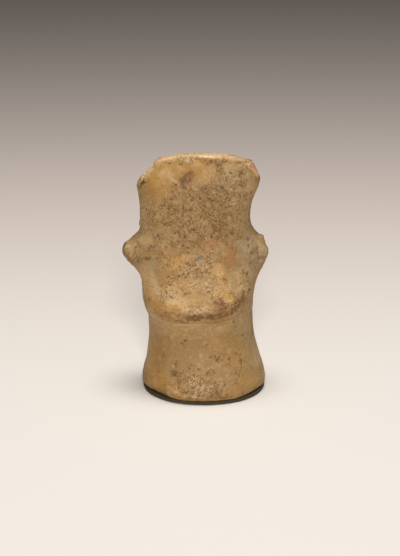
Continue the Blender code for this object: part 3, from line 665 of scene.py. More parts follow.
    Mark("skirt_pit_right", 252, 368, 0.7, 0.7, Pigment.UMBER),
    Mark("skirt_crack", 238.5, 371, 3.4, 0.35, Pigment.EARTH, 0.5, -8, sink_mm=0.06),
    Mark("speckle_pit_top", 176.4, 361, 0.8, 0.7, Pigment.UMBER, sink_mm=0.1, edge=0.4),
    Mark("speckle_pit_up", 175.6, 365, 1, 1.6, Pigment.EARTH, 0.6, 8, edge=0.6, ragged=0.9),
    Mark("speckle_pit_drop", 172.4, 373.4, 0.9, 1.4, Pigment.EARTH, 0.6, -14, edge=0.6, ragged=0.9),
    Mark("speckle_pit_left", 170.5, 371, 0.8, 0.7, Pigment.UMBER, sink_mm=0.1, edge=0.4),
    Mark("speckle_pit_mid", 175.5, 375.5, 1.1, 0.7, Pigment.UMBER, 0.6, -20, sink_mm=0.1, edge=0.4),
    Mark("speckle_pit_low", 177.3, 379.6, 1.9, 0.6, Pigment.UMBER, 0.6, -10, sink_mm=0.1, edge=0.4),
    Mark("speckle_pale", 173.7, 366.4, 0.9, 0.8, Pigment.CALCITE),
    Mark("foot_pit", 197.2, 376, 0.9, 0.9, Pigment.UMBER, 0.85, sink_mm=0.25, edge=0.4),
    Mark("foot_pit_left", 187.5, 378, 0.7, 0.7, Pigment.UMBER, sink_mm=0.15, edge=0.4),
    Mark("foot_blush", 193, 378, 4, 4, Pigment.ROSE, 0.35, edge=0.7),
    Mark("foot_rust_low", 159, 391, 4, 1.4, Pigment.RUST, 0.5, -28, edge=0.6),
    Mark("foot_moss", 164.5, 393, 1.8, 0.9, Pigment.MOSS, 0.45, -28, edge=0.6),
    Mark("foot_orange", 178.5, 396, 3, 1.3, Pigment.IRON, edge=0.6),
    Mark(
        "foot_edge_line", 189, 393, 5.6, 0.8, Pigment.EARTH, 0.4, -18,
        sink_mm=0.1, crust=1, edge=0.6, ragged=0.7,
    ),
    Mark("foot_pearl", 200, 386, 2.6, 5, Pigment.CALCITE, 0.25, crust=0.6, edge=0.6),
    Mark("foot_chip", 182, 393.5, 1.8, 1, Pigment.EARTH, 0.4, -20, sink_mm=0.2, crust=0.8, edge=0.4),
    Mark("foot_chip_mid", 201, 396, 1.7, 0.8, Pigment.EARTH, sink_mm=0.16, edge=0.4),
    Mark("foot_green", 226, 397.4, 6, 0.7, Pigment.MOSS, 0.4, 4),
)


def freeze(piece: bpy.types.Object) -> None:
    """Turns what the piece's modifiers make into its own plain mesh.

    Args:
        piece: The object, which loses its modifiers.
    """
    depsgraph = bpy.context.evaluated_depsgraph_get()
    made = bpy.data.meshes.new_from_object(
        piece.evaluated_get(depsgraph), preserve_all_data_layers=True, depsgraph=depsgraph
    )
    piece.modifiers.clear()
    spent = piece.data
    piece.data = made
    bpy.data.meshes.remove(spent)


def new_material(name: str) -> tuple[bpy.types.Material, Sketch, bpy.types.Node]:
    """Starts a material.

    Args:
        name: What it is called.

    Returns:
        The material, its tree's sketch and its surface shader.
    """
    material = bpy.data.materials.new(name)
    material.use_nodes = True
    return material, Sketch(material.node_tree), material.node_tree.nodes["Principled BSDF"]


def millimetres(sketch: Sketch) -> Socket:
    """The point on the piece in millimetres."""
    return sketch.scaled(sketch.node("ShaderNodeTexCoord").outputs["Object"], 1 / MM)


def attribute(sketch: Sketch, name: str) -> Socket:
    """The value that the mesh carries under this name."""
    return sketch.node("ShaderNodeAttribute", attribute_name=name).outputs["Fac"]


@dataclass(frozen=True)
class WeatheredStoneFinish:
    """Honey-brown stone, with a waxy skin where it is worn and creviced grains where it is crusted.

    A name that ends in _band holds a pattern's values where a colour starts and where it is full,
    and one that ends in _cover holds how strongly that colour then covers.
    """

    name: str = "weathered_stone"

    tan: Srgb = (155, 119, 67)
    honey: Srgb = (171, 132, 78)
    drab: Srgb = (146, 116, 70)
    amber: Srgb = (160, 118, 58)
    crevice: Srgb = (94, 56, 10)
    bed: Srgb = (153, 121, 80)
    crystal: Srgb = (202, 170, 130)
    wheat: Srgb = (164, 132, 94)
    brown: Srgb = (141, 108, 66)
    pit: Srgb = (72, 42, 8)
    rust: Srgb = (142, 88, 24)

    clouds_mm: Grain = Grain(7.0, 3.0, 0.55, 0.3)
    cloud_band: Band = (0.36, 0.64)
    drifts_mm: Grain = Grain(4.5, 4.0, 0.6, 0.8)
    drab_band: Band = (0.52, 0.66)
    drab_cover: float = 0.6
    amber_band: Band = (0.46, 0.34)
    amber_cover: float = 0.5
    milk_mm: Grain = Grain(2.6, 4.0, 0.65, 0.5)
    milk_band: Band = (0.56, 0.68)
    milk_cover: float = 0.4
    grains_mm: Grain = Grain(0.5, 3.0, 0.6, 0.4)
    dust_mm: Grain = Grain(0.3, 2.0, 0.6)
    dust_band: Band = (0.5, 0.3)
    dust_cover: float = 0.3

    crust_cover: float = 0.85
    cobble_mm: float = 0.66
    clump_mm: float = 1.25
    warp: float = 0.85
    bed_band: Band = (0.12, 0.3)
    wheat_band: Band = (0.5, 0.75)
    pale_band: Band = (0.86, 0.94)
    pale_cover: float = 0.45
    seam_band: Band = (0.11, 0.03)
    seam_fill_band: Band = (0.56, 0.44)
    seam_cover: float = 0.35

    crack_mm: Grain = Grain(1.5, 3.0, 0.6, 0.7)
    crack_patch_mm: Grain = Grain(3.6, 3.0, 0.6)
    crack_layers: tuple[Band, ...] = ((1.0, 0.25), (0.5, 0.6))
    crack_width: float = 0.042
    crack_drawn: float = 0.8
    crack_crust_pull: float = 0.28
    crack_band: Band = (0.42, 0.62)
    crack_core: float = 0.6
    rust_cover: float = 0.3
    crevice_cover: float = 0.9

    tint_break: float = 1.9
    tint_least: float = 0.05
    wisps_mm: Grain = Grain(1.7, 4.0, 0.65, 0.6)
    wisp_milky_band: Band = (0.52, 0.68)
    wisp_amber_band: Band = (0.48, 0.32)
    wisp_milky_cover: float = 0.34
    wisp_amber_cover: float = 0.442
    hues_mm: Grain = Grain(2.0, 4.0, 0.7, 0.4)
    hue_drift: float = 0.16

    dust_tone: float = 1.35
    grain_tone: float = 0.8
    skin_tone_share: float = 0.3
    tone_parts: tuple[float, float, float] = (0.85, 1.35, 2.5)
    darkest_tone: float = 0.1
    hollow_band: Band = (0.46, 0.3)
    hollow_cover: float = 0.3
    pit_cover: float = 0.75

    smooth_roughness: float = 0.5
    crust_roughness: float = 0.85
    specular: float = 0.35
    bump_mm: float = 0.25
    bump_strength: float = 0.7
    bump_on_crust: float = 0.8
    bump_on_skin: float = 0.15
    bump_of_dust: float = 0.35
    bump_of_cracks: float = 0.5

    def make(self) -> bpy.types.Material:
        """Builds the material: skin, crust, stains, wisps, speckle, crevices, hollows and pits.

        Returns:
            The stone's material.
        """
        material, sketch, shader = new_material(self.name)
        place = millimetres(sketch)
        grains = sketch.grain(place, self.grains_mm)
        dust = sketch.grain(place, self.dust_mm)
        crust = attribute(sketch, "crust")
        cracks = self.cracks(sketch, place, crust)
        colour = self.skin(sketch, place, dust)
        colour = sketch.coat(crust, self.crust_cover, colour, self.crusted(sketch, place, grains))
        colour = self.tinted(sketch, colour, grains)
        colour = self.clouded(sketch, colour, place)
        colour = self.speckled(sketch, colour, grains, dust, crust)
        colour = sketch.coat(cracks, self.rust_cover, colour, linear(self.rust))
        cracks = sketch.step(cracks, self.crack_core, 1.0)
        colour = sketch.coat(cracks, self.crevice_cover, colour, linear(self.crevice))
        hollows = sketch.calc("MULTIPLY", sketch.step(attribute(sketch, "grain"), *self.hollow_band), crust)
        colour = sketch.coat(hollows, self.hollow_cover, colour, linear(self.crevice))
        colour = sketch.coat(attribute(sketch, "pit"), self.pit_cover, colour, linear(self.pit))
        sketch.feed(shader.inputs["Base Color"], colour)
        rough = sketch.node(
            "ShaderNodeMapRange",
            {"Value": crust, "To Min": self.smooth_roughness, "To Max": self.crust_roughness},
        )
        sketch.feed(shader.inputs["Roughness"], rough.outputs["Result"])
        shader.inputs["Specular IOR Level"].default_value = self.specular
        self.bump(sketch, shader, grains, dust, crust, cracks)
        return material

    def skin(self, sketch: Sketch, place: Socket, dust: Socket) -> Socket:
        """The worn skin: soft clouds of tan, honey, drab, amber and milky white, with faint dust.

        Args:
            sketch: The material's tree.
            place: The point in millimetres.
            dust: The finest grain.

        Returns:
            The colour's socket.
        """
        clouds = sketch.step(sketch.grain(place, self.clouds_mm), *self.cloud_band)
        colour = sketch.blend(clouds, linear(self.tan), linear(self.honey))
        drifts = sketch.grain(place, self.drifts_mm)
        colour = sketch.wash(drifts, self.drab_band, self.drab_cover, colour, linear(self.drab))
        colour = sketch.wash(drifts, self.amber_band, self.amber_cover, colour, linear(self.amber))
        milk = sketch.grain(place, self.milk_mm)
        colour = sketch.wash(milk, self.milk_band, self.milk_cover, colour, linear(self.crystal))
        return sketch.wash(dust, self.dust_band, self.dust_cover, colour, linear(self.crevice))

    def cracks(self, sketch: Sketch, place: Socket, crust: Socket) -> Socket:
        """The thin winding crevices, drawn out up and down, close together in the crust.

        Each layer of them has its share of the span and the crust that it needs.

        Args:
            sketch: The material's tree.
            place: The point in millimetres.
            crust: How crusted the stone is.

        Returns:
            The depth's socket, from 0 to 1.
        """
        drawn = sketch.vector("MULTIPLY", place, (1.0, 1.0, self.crack_drawn))
        total: Any = 0.0
        for share, need in self.crack_layers:
            wander = sketch.grain(drawn, self.crack_mm.finer(share))
            away = sketch.calc("ABSOLUTE", sketch.calc("SUBTRACT", wander, 0.5))
            line = sketch.step(away, self.crack_width / share ** 0.5, 0.0)
            patches = sketch.grain(place, self.crack_patch_mm.finer(share))
            spare = sketch.calc("SUBTRACT", crust, need)
            patches = sketch.calc("ADD", patches, sketch.calc("MULTIPLY", spare, self.crack_crust_pull))
            line = sketch.calc("MULTIPLY", line, sketch.step(patches, *self.crack_band))
            total = sketch.calc("MAXIMUM", total, line)
        return total

    def crusted(self, sketch: Sketch, place: Socket, grains: Socket) -> Socket:
        """The crust: grains of brown, tan and cream packed together, with dark seams between them.

        Args:
            sketch: The material's tree.
            place: The point in millimetres.
            grains: The pattern that fills the seams here and there.

        Returns:
            The colour's socket.
        """
        pick = sketch.cobbles(place, self.cobble_mm, self.cobble_mm * self.warp)[1]
        inside = sketch.cobbles(place, self.clump_mm, self.clump_mm * self.warp)[0]
        colour = sketch.blend(sketch.step(pick, *self.bed_band), linear(self.brown), linear(self.bed))
        colour = sketch.blend(sketch.step(pick, *self.wheat_band), colour, linear(self.wheat))
        colour = sketch.wash(pick, self.pale_band, self.pale_cover, colour, linear(self.crystal))
        seams = sketch.step(inside, *self.seam_band)
        seams = sketch.calc("MULTIPLY", seams, sketch.step(grains, *self.seam_fill_band))
        return sketch.coat(seams, self.seam_cover, colour, linear(self.crevice))

    def tinted(self, sketch: Sketch, colour: Socket, grains: Socket) -> Socket:
        """Lays the stains, coats, painted light and painted shade that the mesh carries over the stone.

        Args:
            sketch: The material's tree.
            colour: The bare stone's colour.
            grains: The pattern that breaks the tint up.

        Returns:
            The colour's socket.
        """
        tint = sketch.node("ShaderNodeAttribute", attribute_name="tint")
        broken = sketch.calc("MULTIPLY_ADD", grains, self.tint_break, self.tint_least)
        cover = sketch.calc("MULTIPLY", tint.outputs["Alpha"], broken)
        cover = sketch.calc("MINIMUM", cover, 1.0)
        return sketch.blend(cover, colour, tint.outputs["Color"])

    def clouded(self, sketch: Sketch, colour: Socket, place: Socket) -> Socket:
        """Clouds bare stone and stains alike with milky and amber wisps, and lets the hue drift.

        Args:
            sketch: The material's tree.
            colour: The stone's colour, with its stains and painted light and shade.
            place: The point in millimetres.

        Returns:
            The colour's socket.
        """
        wisps = sketch.grain(place, self.wisps_mm)
        colour = sketch.wash(
            wisps, self.wisp_milky_band, self.wisp_milky_cover, colour, linear(self.crystal)
        )
        colour = sketch.wash(wisps, self.wisp_amber_band, self.wisp_amber_cover, colour, linear(self.amber))
        drift = sketch.calc("SUBTRACT", sketch.grain(place, self.hues_mm), 0.5)
        red = sketch.calc("MULTIPLY_ADD", drift, self.hue_drift, 1.0)
        green = sketch.calc("MULTIPLY_ADD", drift, -self.hue_drift, 1.0)
        shift = sketch.node("ShaderNodeCombineXYZ", {"X": red, "Y": green, "Z": red}).outputs[0]
        return sketch.vector("MULTIPLY", colour, shift)

    def speckled(
        self, sketch: Sketch, colour: Socket, grains: Socket, dust: Socket, crust: Socket
    ) -> Socket:
        """Varies the tone from grain to grain: dark grains turn browner, pale ones creamier.

        Args:
            sketch: The material's tree.
            colour: The stone's colour, with its stains and painted light and shade.
            grains: The pattern of the grains.
            dust: The finest grain.
            crust: How crusted the stone is.

        Returns:
            The colour's socket.
        """
        fine = sketch.calc("MULTIPLY", sketch.calc("SUBTRACT", dust, 0.5), self.dust_tone)
        tone = sketch.calc("MULTIPLY_ADD", sketch.calc("SUBTRACT", grains, 0.5), self.grain_tone, fine)
        bare = self.skin_tone_share
        tone = sketch.calc("MULTIPLY", tone, sketch.calc("MULTIPLY_ADD", crust, 1 - bare, bare))
        parts = [sketch.calc("MULTIPLY_ADD", tone, part, 1.0) for part in self.tone_parts]
        parts = [sketch.calc("MAXIMUM", part, self.darkest_tone) for part in parts]
        shift = sketch.node("ShaderNodeCombineXYZ", dict(zip("XYZ", parts))).outputs[0]
        return sketch.vector("MULTIPLY", colour, shift)

    def bump(
        self,
        sketch: Sketch,
        shader: bpy.types.Node,
        grains: Socket,
        dust: Socket,
        crust: Socket,
        cracks: Socket,
    ) -> None:
        """Roughens the surface below what the mesh holds.

        Args:
            sketch: The material's tree.
            shader: The surface shader.
            grains: The pattern of the grains.
            dust: The finest grain.
            crust: How crusted the stone is.
            cracks: How deep the crevices are.
        """
        strength = sketch.calc("MULTIPLY_ADD", crust, self.bump_on_crust, self.bump_on_skin)
        height = sketch.calc("MULTIPLY_ADD", dust, self.bump_of_dust, grains)
        height = sketch.calc("MULTIPLY", height, strength)
        height = sketch.calc("SUBTRACT", height, sketch.calc("MULTIPLY", cracks, self.bump_of_cracks))
        bump = sketch.node(
            "ShaderNodeBump",
            {"Strength": self.bump_strength, "Distance": self.bump_mm * MM, "Height": height},
        )
        sketch.feed(shader.inputs["Normal"], bump.outputs["Normal"])


@dataclass(frozen=True)
class PadFinish:
    """The dark, matt pad with a fine speckle and a little stone dust."""

    name: str = "dark_pad"
    dark: Srgb = (68, 57, 40)
    light: Srgb = (82, 71, 53)
    dust: Srgb = (112, 100, 84)
    speckle_mm: Grain = Grain(0.35)
    speckle_band: Band = (0.35, 0.65)
    dusting_mm: Grain = Grain(2.4, 3.0)
    dusting_band: Band = (0.58, 0.75)
    dusting_cover: float = 0.35
    roughness: float = 0.9
    specular: float = 0.2
    bump_mm: float = 0.06
    bump_strength: float = 0.6

    def make(self) -> bpy.types.Material:
        """Builds the material.

        Returns:
            The pad's material.
        """
        material, sketch, shader = new_material(self.name)
        place = millimetres(sketch)
        speckle = sketch.grain(place, self.speckle_mm)
        colour = sketch.blend(sketch.step(speckle, *self.speckle_band), linear(self.dark), linear(self.light))
        dusting = sketch.grain(place, self.dusting_mm)
        colour = sketch.wash(dusting, self.dusting_band, self.dusting_cover, colour, linear(self.dust))
        sketch.feed(shader.inputs["Base Color"], colour)
        shader.inputs["Roughness"].default_value = self.roughness
        shader.inputs["Specular IOR Level"].default_value = self.specular
        bump = sketch.node(
            "ShaderNodeBump",
            {"Strength": self.bump_strength, "Distance": self.bump_mm * MM, "Height": speckle},
        )
        sketch.feed(shader.inputs["Normal"], bump.outputs["Normal"])
        return material


@dataclass(frozen=True)
class PaleFloorFinish:
    """The floor: warm white in front, with painted shade that darkens it behind the figurine, where the
    lamps' light falls away.
    """

    name: str = "pale_floor"
    near: Srgb = (219, 212, 203)
    far: Srgb = (217, 203, 193)
    black: Colour = (0.0, 0.0, 0.0, 1.0)
    painted_dimming_from: float = -0.06
    painted_dimming_span: float = 0.41
    painted_dimming_bend: float = 2.8
    painted_dimming_power: float = -1.2
    far_from: float = 0.3

    def make(self) -> bpy.types.Material:
        """Builds the material.

        Returns:
            The floor's material.
        """
        material, sketch, shader = new_material(self.name)
        place = sketch.node("ShaderNodeTexCoord").outputs["Object"]
        # Painted shade: the colour darkens with depth behind the figurine, for the light falling away there.
        depth = sketch.node("ShaderNodeSeparateXYZ", {"Vector": place}).outputs["Y"]
        depth = sketch.calc("MAXIMUM", sketch.calc("SUBTRACT", depth, self.painted_dimming_from), 0.0)
        share = sketch.calc("POWER", sketch.calc("DIVIDE", depth, self.painted_dimming_span), self.painted_dimming_bend)
        tone = sketch.calc("POWER", sketch.calc("ADD", share, 1.0), self.painted_dimming_power)
        hue = sketch.blend(sketch.step(depth, 0.0, self.far_from), linear(self.near), linear(self.far))
        sketch.feed(shader.inputs["Base Color"], sketch.blend(tone, self.black, hue))
        shader.inputs["Roughness"].default_value = 1.0
        shader.inputs["Specular IOR Level"].default_value = 0.0
        return material


@dataclass(frozen=True)
class StoneRelief:
    """The low relief of the stone's surface: swells, grains and pits, as a geometry tree."""

    swell_height_mm: float = 0.5
    swells_mm: Grain = Grain(5.5, 4.0, 0.55, 0.3)
    grain_height_mm: float = 0.44
    grains_mm: Grain = Grain(1.3, 3.0, 0.6, 0.3)
    grain_on_skin: float = 0.1
    cobble_height_mm: float = 0.12
    cobble_band: Band = (0.0, 0.3)
    clump_mm: float = WeatheredStoneFinish.clump_mm
    warp: float = WeatheredStoneFinish.warp
    pit_gap_mm: float = 2.6
    pit_radius_mm: float = 0.55
    pit_depth_mm: float = 0.3
    pit_sizes: Band = (0.35, 1.0)
    pit_band: Band = (1.0, 0.2)
    pits_on_crust: float = 0.9
    pits_on_skin: float = 0.02
    pits_per_square_metre: float = 400000.0
    seed: int = 11

    def carve(self, piece: bpy.types.Object, finish: bpy.types.Material) -> None:
        """Carves the relief into the piece and dresses it.

        Args:
            piece: The stone, which holds a crust attribute.
            finish: Its material.
        """
        lengths = {
            "Swell height": self.swell_height_mm,
            "Swell span": self.swells_mm.span,
            "Grain height": self.grain_height_mm,
            "Grain span": self.grains_mm.span,
            "Cobble height": self.cobble_height_mm,
            "Pit gap": self.pit_gap_mm,
            "Pit radius": self.pit_radius_mm,
            "Pit depth": self.pit_depth_mm,
        }
        modifier = piece.modifiers.new("relief", "NODES")
        modifier.node_group = self.tree(lengths)
        values = {**lengths, "Seed": self.seed, "Finish": finish}
        for item in modifier.node_group.interface.items_tree:
            if item.in_out == "INPUT" and item.name in values:
                modifier[item.identifier] = values[item.name]
        freeze(piece)

    def tree(self, lengths: Iterable[str]) -> bpy.types.NodeTree:
        """Builds the geometry tree.

        Args:
            lengths: The names of its inputs that hold millimetres.

        Returns:
            The tree, with its sizes as named inputs.
        """
        tree = bpy.data.node_groups.new("stone_relief", "GeometryNodeTree")
        tree.interface.new_socket("Geometry", in_out="OUTPUT", socket_type="NodeSocketGeometry")
        tree.interface.new_socket("Geometry", in_out="INPUT", socket_type="NodeSocketGeometry")
        for name in lengths:
            tree.interface.new_socket(name, in_out="INPUT", socket_type="NodeSocketFloat")
        tree.interface.new_socket("Seed", in_out="INPUT", socket_type="NodeSocketInt")
        tree.interface.new_socket("Finish", in_out="INPUT", socket_type="NodeSocketMaterial")
        sketch = Sketch(tree)
        given = sketch.node("NodeGroupInput").outputs
        place = sketch.scaled(sketch.node("GeometryNodeInputPosition").outputs[0], 1 / MM)
        crust = sketch.node("GeometryNodeInputNamedAttribute", {"Name": "crust"}, data_type="FLOAT")
        crust = sketch.live(crust.outputs, "Attribute")
        grain = self.pattern(sketch, place, given["Grain span"], self.grains_mm)
        pit = self.pits(sketch, given, place, crust)
        height = self.height(sketch, given, place, crust, grain, pit)
        normal = sketch.node("GeometryNodeInputNormal").outputs[0]
        offset = sketch.scaled(normal, sketch.calc("MULTIPLY", height, MM))
        stored = given["Geometry"]
        for name, value in (("grain", grain), ("pit", pit)):
            kept = sketch.node(
                "GeometryNodeStoreNamedAttribute",
                {"Geometry": stored, "Name": name, "Value": value},
                data_type="FLOAT",
                domain="POINT",
            )
            stored = kept.outputs["Geometry"]
        moved = sketch.node("GeometryNodeSetPosition", {"Geometry": stored, "Offset": offset})
        smooth = sketch.node("GeometryNodeSetShadeSmooth", {"Geometry": moved.outputs["Geometry"]})
        real = sketch.node("GeometryNodeRealizeInstances", {"Geometry": smooth.outputs["Geometry"]})
        dressed = sketch.node(
            "GeometryNodeSetMaterial", {"Geometry": real.outputs["Geometry"], "Material": given["Finish"]}
        )
        sketch.node("NodeGroupOutput", {"Geometry": dressed.outputs["Geometry"]})
        return tree

    def height(
        self, sketch: Sketch, given: Any, place: Socket, crust: Socket, grain: Socket, pit: Socket
    ) -> Socket:
        """Adds up the relief's height.

        Args:
            sketch: The tree's sketch.
            given: The tree's inputs.
            place: The point in millimetres.
            crust: How crusted the stone is.
            grain: The pattern of the grains.
            pit: How deep the pits are.

        Returns:
            The height's socket, in millimetres.
        """
        swell = self.pattern(sketch, place, given["Swell span"], self.swells_mm)
        height = sketch.calc("MULTIPLY", sketch.calc("SUBTRACT", swell, 0.5), given["Swell height"])
        inside = sketch.cobbles(place, self.clump_mm, self.clump_mm * self.warp)[0]
        full = sketch.calc("MULTIPLY", crust, given["Cobble height"])
        cobble = sketch.calc("MULTIPLY", sketch.step(inside, *self.cobble_band), full)
        height = sketch.calc("ADD", height, cobble)
        bite = sketch.calc("MULTIPLY_ADD", crust, 1 - self.grain_on_skin, self.grain_on_skin)
        grains = sketch.calc("MULTIPLY", sketch.calc("SUBTRACT", grain, 0.5), given["Grain height"])
        height = sketch.calc("MULTIPLY_ADD", grains, bite, height)
        return sketch.calc("SUBTRACT", height, sketch.calc("MULTIPLY", pit, given["Pit depth"]))

    def pattern(self, sketch: Sketch, place: Socket, span: Socket, grain: Grain) -> Socket:
        """Adds a random pattern whose span is an input of the tree.

        Args:
            sketch: The tree's sketch.
            place: The point in millimetres.
            span: The distance over which it changes.
            grain: What it is like, apart from its span.

        Returns:
            The pattern's socket.
        """
        inputs = {
            "Vector": place,
            "Scale": sketch.calc("DIVIDE", 1.0, span),
            "Detail": grain.detail,
            "Roughness": grain.rough,
            "Distortion": grain.twist,
        }
        return sketch.node("ShaderNodeTexNoise", inputs).outputs[0]

    def pits(self, sketch: Sketch, given: Any, place: Socket, crust: Socket) -> Socket:
        """Scatters pits over the stone, most of them where it is crusted.

        Args:
            sketch: The tree's sketch.
            given: The tree's inputs.
            place: The point in millimetres.
            crust: How crusted the stone is.

        Returns:
            The depth's socket, from 0 outside the pits to 1 at their middles.
        """
        scattered = sketch.node(
            "GeometryNodeDistributePointsOnFaces",
            {
                "Mesh": given["Geometry"],
                "Distance Min": sketch.calc("MULTIPLY", given["Pit gap"], MM),
                "Density Max": self.pits_per_square_metre,
                "Density Factor": sketch.calc("MULTIPLY_ADD", crust, self.pits_on_crust, self.pits_on_skin),
                "Seed": given["Seed"],
            },
            distribute_method="POISSON",
        ).outputs["Points"]
        nearest = sketch.node("GeometryNodeSampleNearest", {"Geometry": scattered}).outputs["Index"]
        middle = sketch.node(
            "GeometryNodeSampleIndex",
            {"Geometry": scattered, "Value": place, "Index": nearest},
            data_type="FLOAT_VECTOR",
        )
        least, most = self.pit_sizes
        size = sketch.node(
            "FunctionNodeRandomValue",
            {"Min": least, "Max": most, "ID": nearest, "Seed": given["Seed"]},
            data_type="FLOAT",
        )
        size = sketch.live(size.outputs, "Value")
        gap = sketch.vector("DISTANCE", place, sketch.live(middle.outputs, "Value"))
        share = sketch.calc("DIVIDE", gap, sketch.calc("MULTIPLY", size, given["Pit radius"]))
        return sketch.calc("MULTIPLY", sketch.step(share, *self.pit_band), size)


@dataclass(frozen=True)
class MarkEdge:
    """How every mark's edge wanders and fades.

    Attributes:
        reach_share: How far a mark may reach, as a share of half its longer side.
        reach_spare_mm: What is added to that.
        fade_from: The share of the reach from which it fades.
        outer_share: The share of its soft edge that lies outside the oval.
        wander_share: The span of the edge's wandering, as a share of its shorter side.
        wander_least_mm: The least such span.
        finer_by: How many times finer a second wandering is.
        finer_share: How strong the second one is.
    """

    reach_share: float = 1.9
    reach_spare_mm: float = 0.4
    fade_from: float = 0.7
    outer_share: float = 0.6
    wander_share: float = 0.45
    wander_least_mm: float = 0.9
    finer_by: float = 2.7
    finer_share: float = 0.5


class Surface:
    """The stone's vertices, with the stains, painted light and shade, crust and depth that the marks lay on
    them.
    """

    def __init__(self, mesh: bpy.types.Mesh, edge: MarkEdge) -> None:
        """Reads the mesh and starts with bare stone.

        Args:
            mesh: The stone's mesh.
            edge: How the marks' edges wander and fade.
        """
        count = len(mesh.vertices)
        self.mesh = mesh
        self.edge = edge
        self.points = np.empty(count * 3)
        mesh.vertices.foreach_get("co", self.points)
        self.points = self.points.reshape(-1, 3)
        self.normals = np.empty(count * 3)
        mesh.vertices.foreach_get("normal", self.normals)
        self.normals = self.normals.reshape(-1, 3)
        self.tint = np.zeros((count, 4))
        self.crust = np.zeros(count)
        self.sink = np.zeros(count)

    def lay(self, mark: Mark, centre: Vector, right: Vector, up: Vector) -> None:
        """Lays one mark on the stone.

        Args:
            mark: The mark.
            centre: Its middle.
            right: The direction of its width.
            up: The direction of its height.
        """
        half_wide = mark.wide_mm * MM / 2
        half_tall = mark.tall_mm * MM / 2
        reach = self.edge.reach_share * max(half_wide, half_tall) + self.edge.reach_spare_mm * MM
        offset = self.points - np.array(centre)
        close = np.flatnonzero(np.einsum("ij,ij->i", offset, offset) < reach * reach)
        if not len(close):
            LOG.warning("mark %s reaches no vertex", mark.name)
            return
        turn = math.radians(mark.turn)
        across = right * math.cos(turn) + up * math.sin(turn)
        rise = up * math.cos(turn) - right * math.sin(turn)
        offset = offset[close]
        spread = np.hypot(offset @ np.array(across) / half_wide, offset @ np.array(rise) / half_tall)
        spread *= 1 + mark.ragged * self.wander(mark, self.points[close])
        share = 1 - smooth_step(1 - mark.edge, 1 + self.edge.outer_share * mark.edge, spread)
        share *= 1 - smooth_step(self.edge.fade_from, 1.0, np.linalg.norm(offset, axis=1) / reach)
        if mark.pigment:
            self.lay_tint(close, share * mark.cover, linear(mark.pigment.value))
        target = 1.0 if mark.crust > 0 else 0.0
        self.crust[close] += (target - self.crust[close]) * share * abs(mark.crust)
        self.sink[close] += share * mark.sink_mm

    def wander(self, mark: Mark, places: np.ndarray) -> np.ndarray:
        """How far a mark's edge strays at each place.

        Args:
            mark: The mark, whose pixel also picks the pattern.
            places: The places, one a row.

        Returns:
            One value a place, about -1.5 to 1.5.
        """
        span_mm = max(self.edge.wander_least_mm, self.edge.wander_share * min(mark.wide_mm, mark.tall_mm))
        finer = noise_field(places, span_mm / self.edge.finer_by, mark.y)
        return noise_field(places, span_mm, mark.x) + self.edge.finer_share * finer

    def lay_tint(self, close: np.ndarray, cover: np.ndarray, colour: Colour) -> None:
        """Lays a pigment over what is already there, for stains and painted light and shade alike.

        Args:
            close: The vertices' numbers.
            cover: How strongly each is covered.
            colour: The pigment.
        """
        below = self.tint[close, 3] * (1 - cover)
        total = np.maximum(cover + below, LEAST_COVER)
        mixed = np.outer(cover / total, colour[:3]) + self.tint[close, :3] * (below / total)[:, None]
        self.tint[close, :3] = mixed
        self.tint[close, 3] = cover + below

    def write(self) -> None:
        """Gives the mesh its tint and crust attributes and sinks its marks."""
        moved = self.points - self.normals * (self.sink * MM)[:, None]
        self.mesh.vertices.foreach_set("co", moved.ravel())
        tint = self.mesh.attributes.new("tint", "FLOAT_COLOR", "POINT")
        tint.data.foreach_set("color", self.tint.ravel())
        crust = self.mesh.attributes.new("crust", "FLOAT", "POINT")
        crust.data.foreach_set("value", np.clip(self.crust, 0, 1))
        self.mesh.update()


@dataclass(frozen=True)
class HiddenWear:
    """The marks of the sides that the photograph doesn't show, drawn at random.

    A pair holds the least and the most that is drawn.

    Attributes:
        count: How many there are.
        facing: A place is hidden where its normal turns this far from the camera, as a cosine.
        pigments: Their colours.
        wide_mm: Their widths.
        tall_mm: Their heights.
        cover: How strongly they colour the stone.
        turn: How far they are turned, in degrees.
        sink_mm: How deep they are.
        crust: How much crust they add or take away.
        edge: How soft their edges are.
        pattern_step: What a mark's number is times, to pick the finer wandering of its edge.
        level_least: The least cross product with the upright at which a place has a level side.
    """

    count: int = 90
    facing: float = -0.35
    pattern_step: float = 1.7
    level_least: float = 0.1
    pigments: tuple[Pigment, ...] = (
        Pigment.IRON,
        Pigment.RUST,
        Pigment.CREAM,
        Pigment.DRAB,
        Pigment.OLIVE,
        Pigment.AMBER,
        Pigment.EARTH,
    )
    wide_mm: Band = (2.5, 11.0)
    tall_mm: Band = (2.0, 9.0)
    cover: Band = (0.25, 0.6)
    turn: Band = (-60.0, 60.0)
    sink_mm: Band = (-0.12, 0.15)
    crust: Band = (-1.0, 1.0)
    edge: Band = (0.4, 0.7)

    def mark(self, number: int, draw: np.random.Generator) -> Mark:
        """Draws one mark.

        Args:
            number: Its number, which also picks how its edge wanders.
            draw: Where the random numbers come from.

        Returns:
            The mark.
        """
        return Mark(
            f"hidden_{number}",
            x=float(number),
            y=float(number) * self.pattern_step,
            wide_mm=draw.uniform(*self.wide_mm),
            tall_mm=draw.uniform(*self.tall_mm),
            pigment=self.pigments[draw.integers(len(self.pigments))],
            cover=draw.uniform(*self.cover),
            turn=draw.uniform(*self.turn),
            sink_mm=draw.uniform(*self.sink_mm),
            crust=draw.uniform(*self.crust),
            edge=draw.uniform(*self.edge),
        )


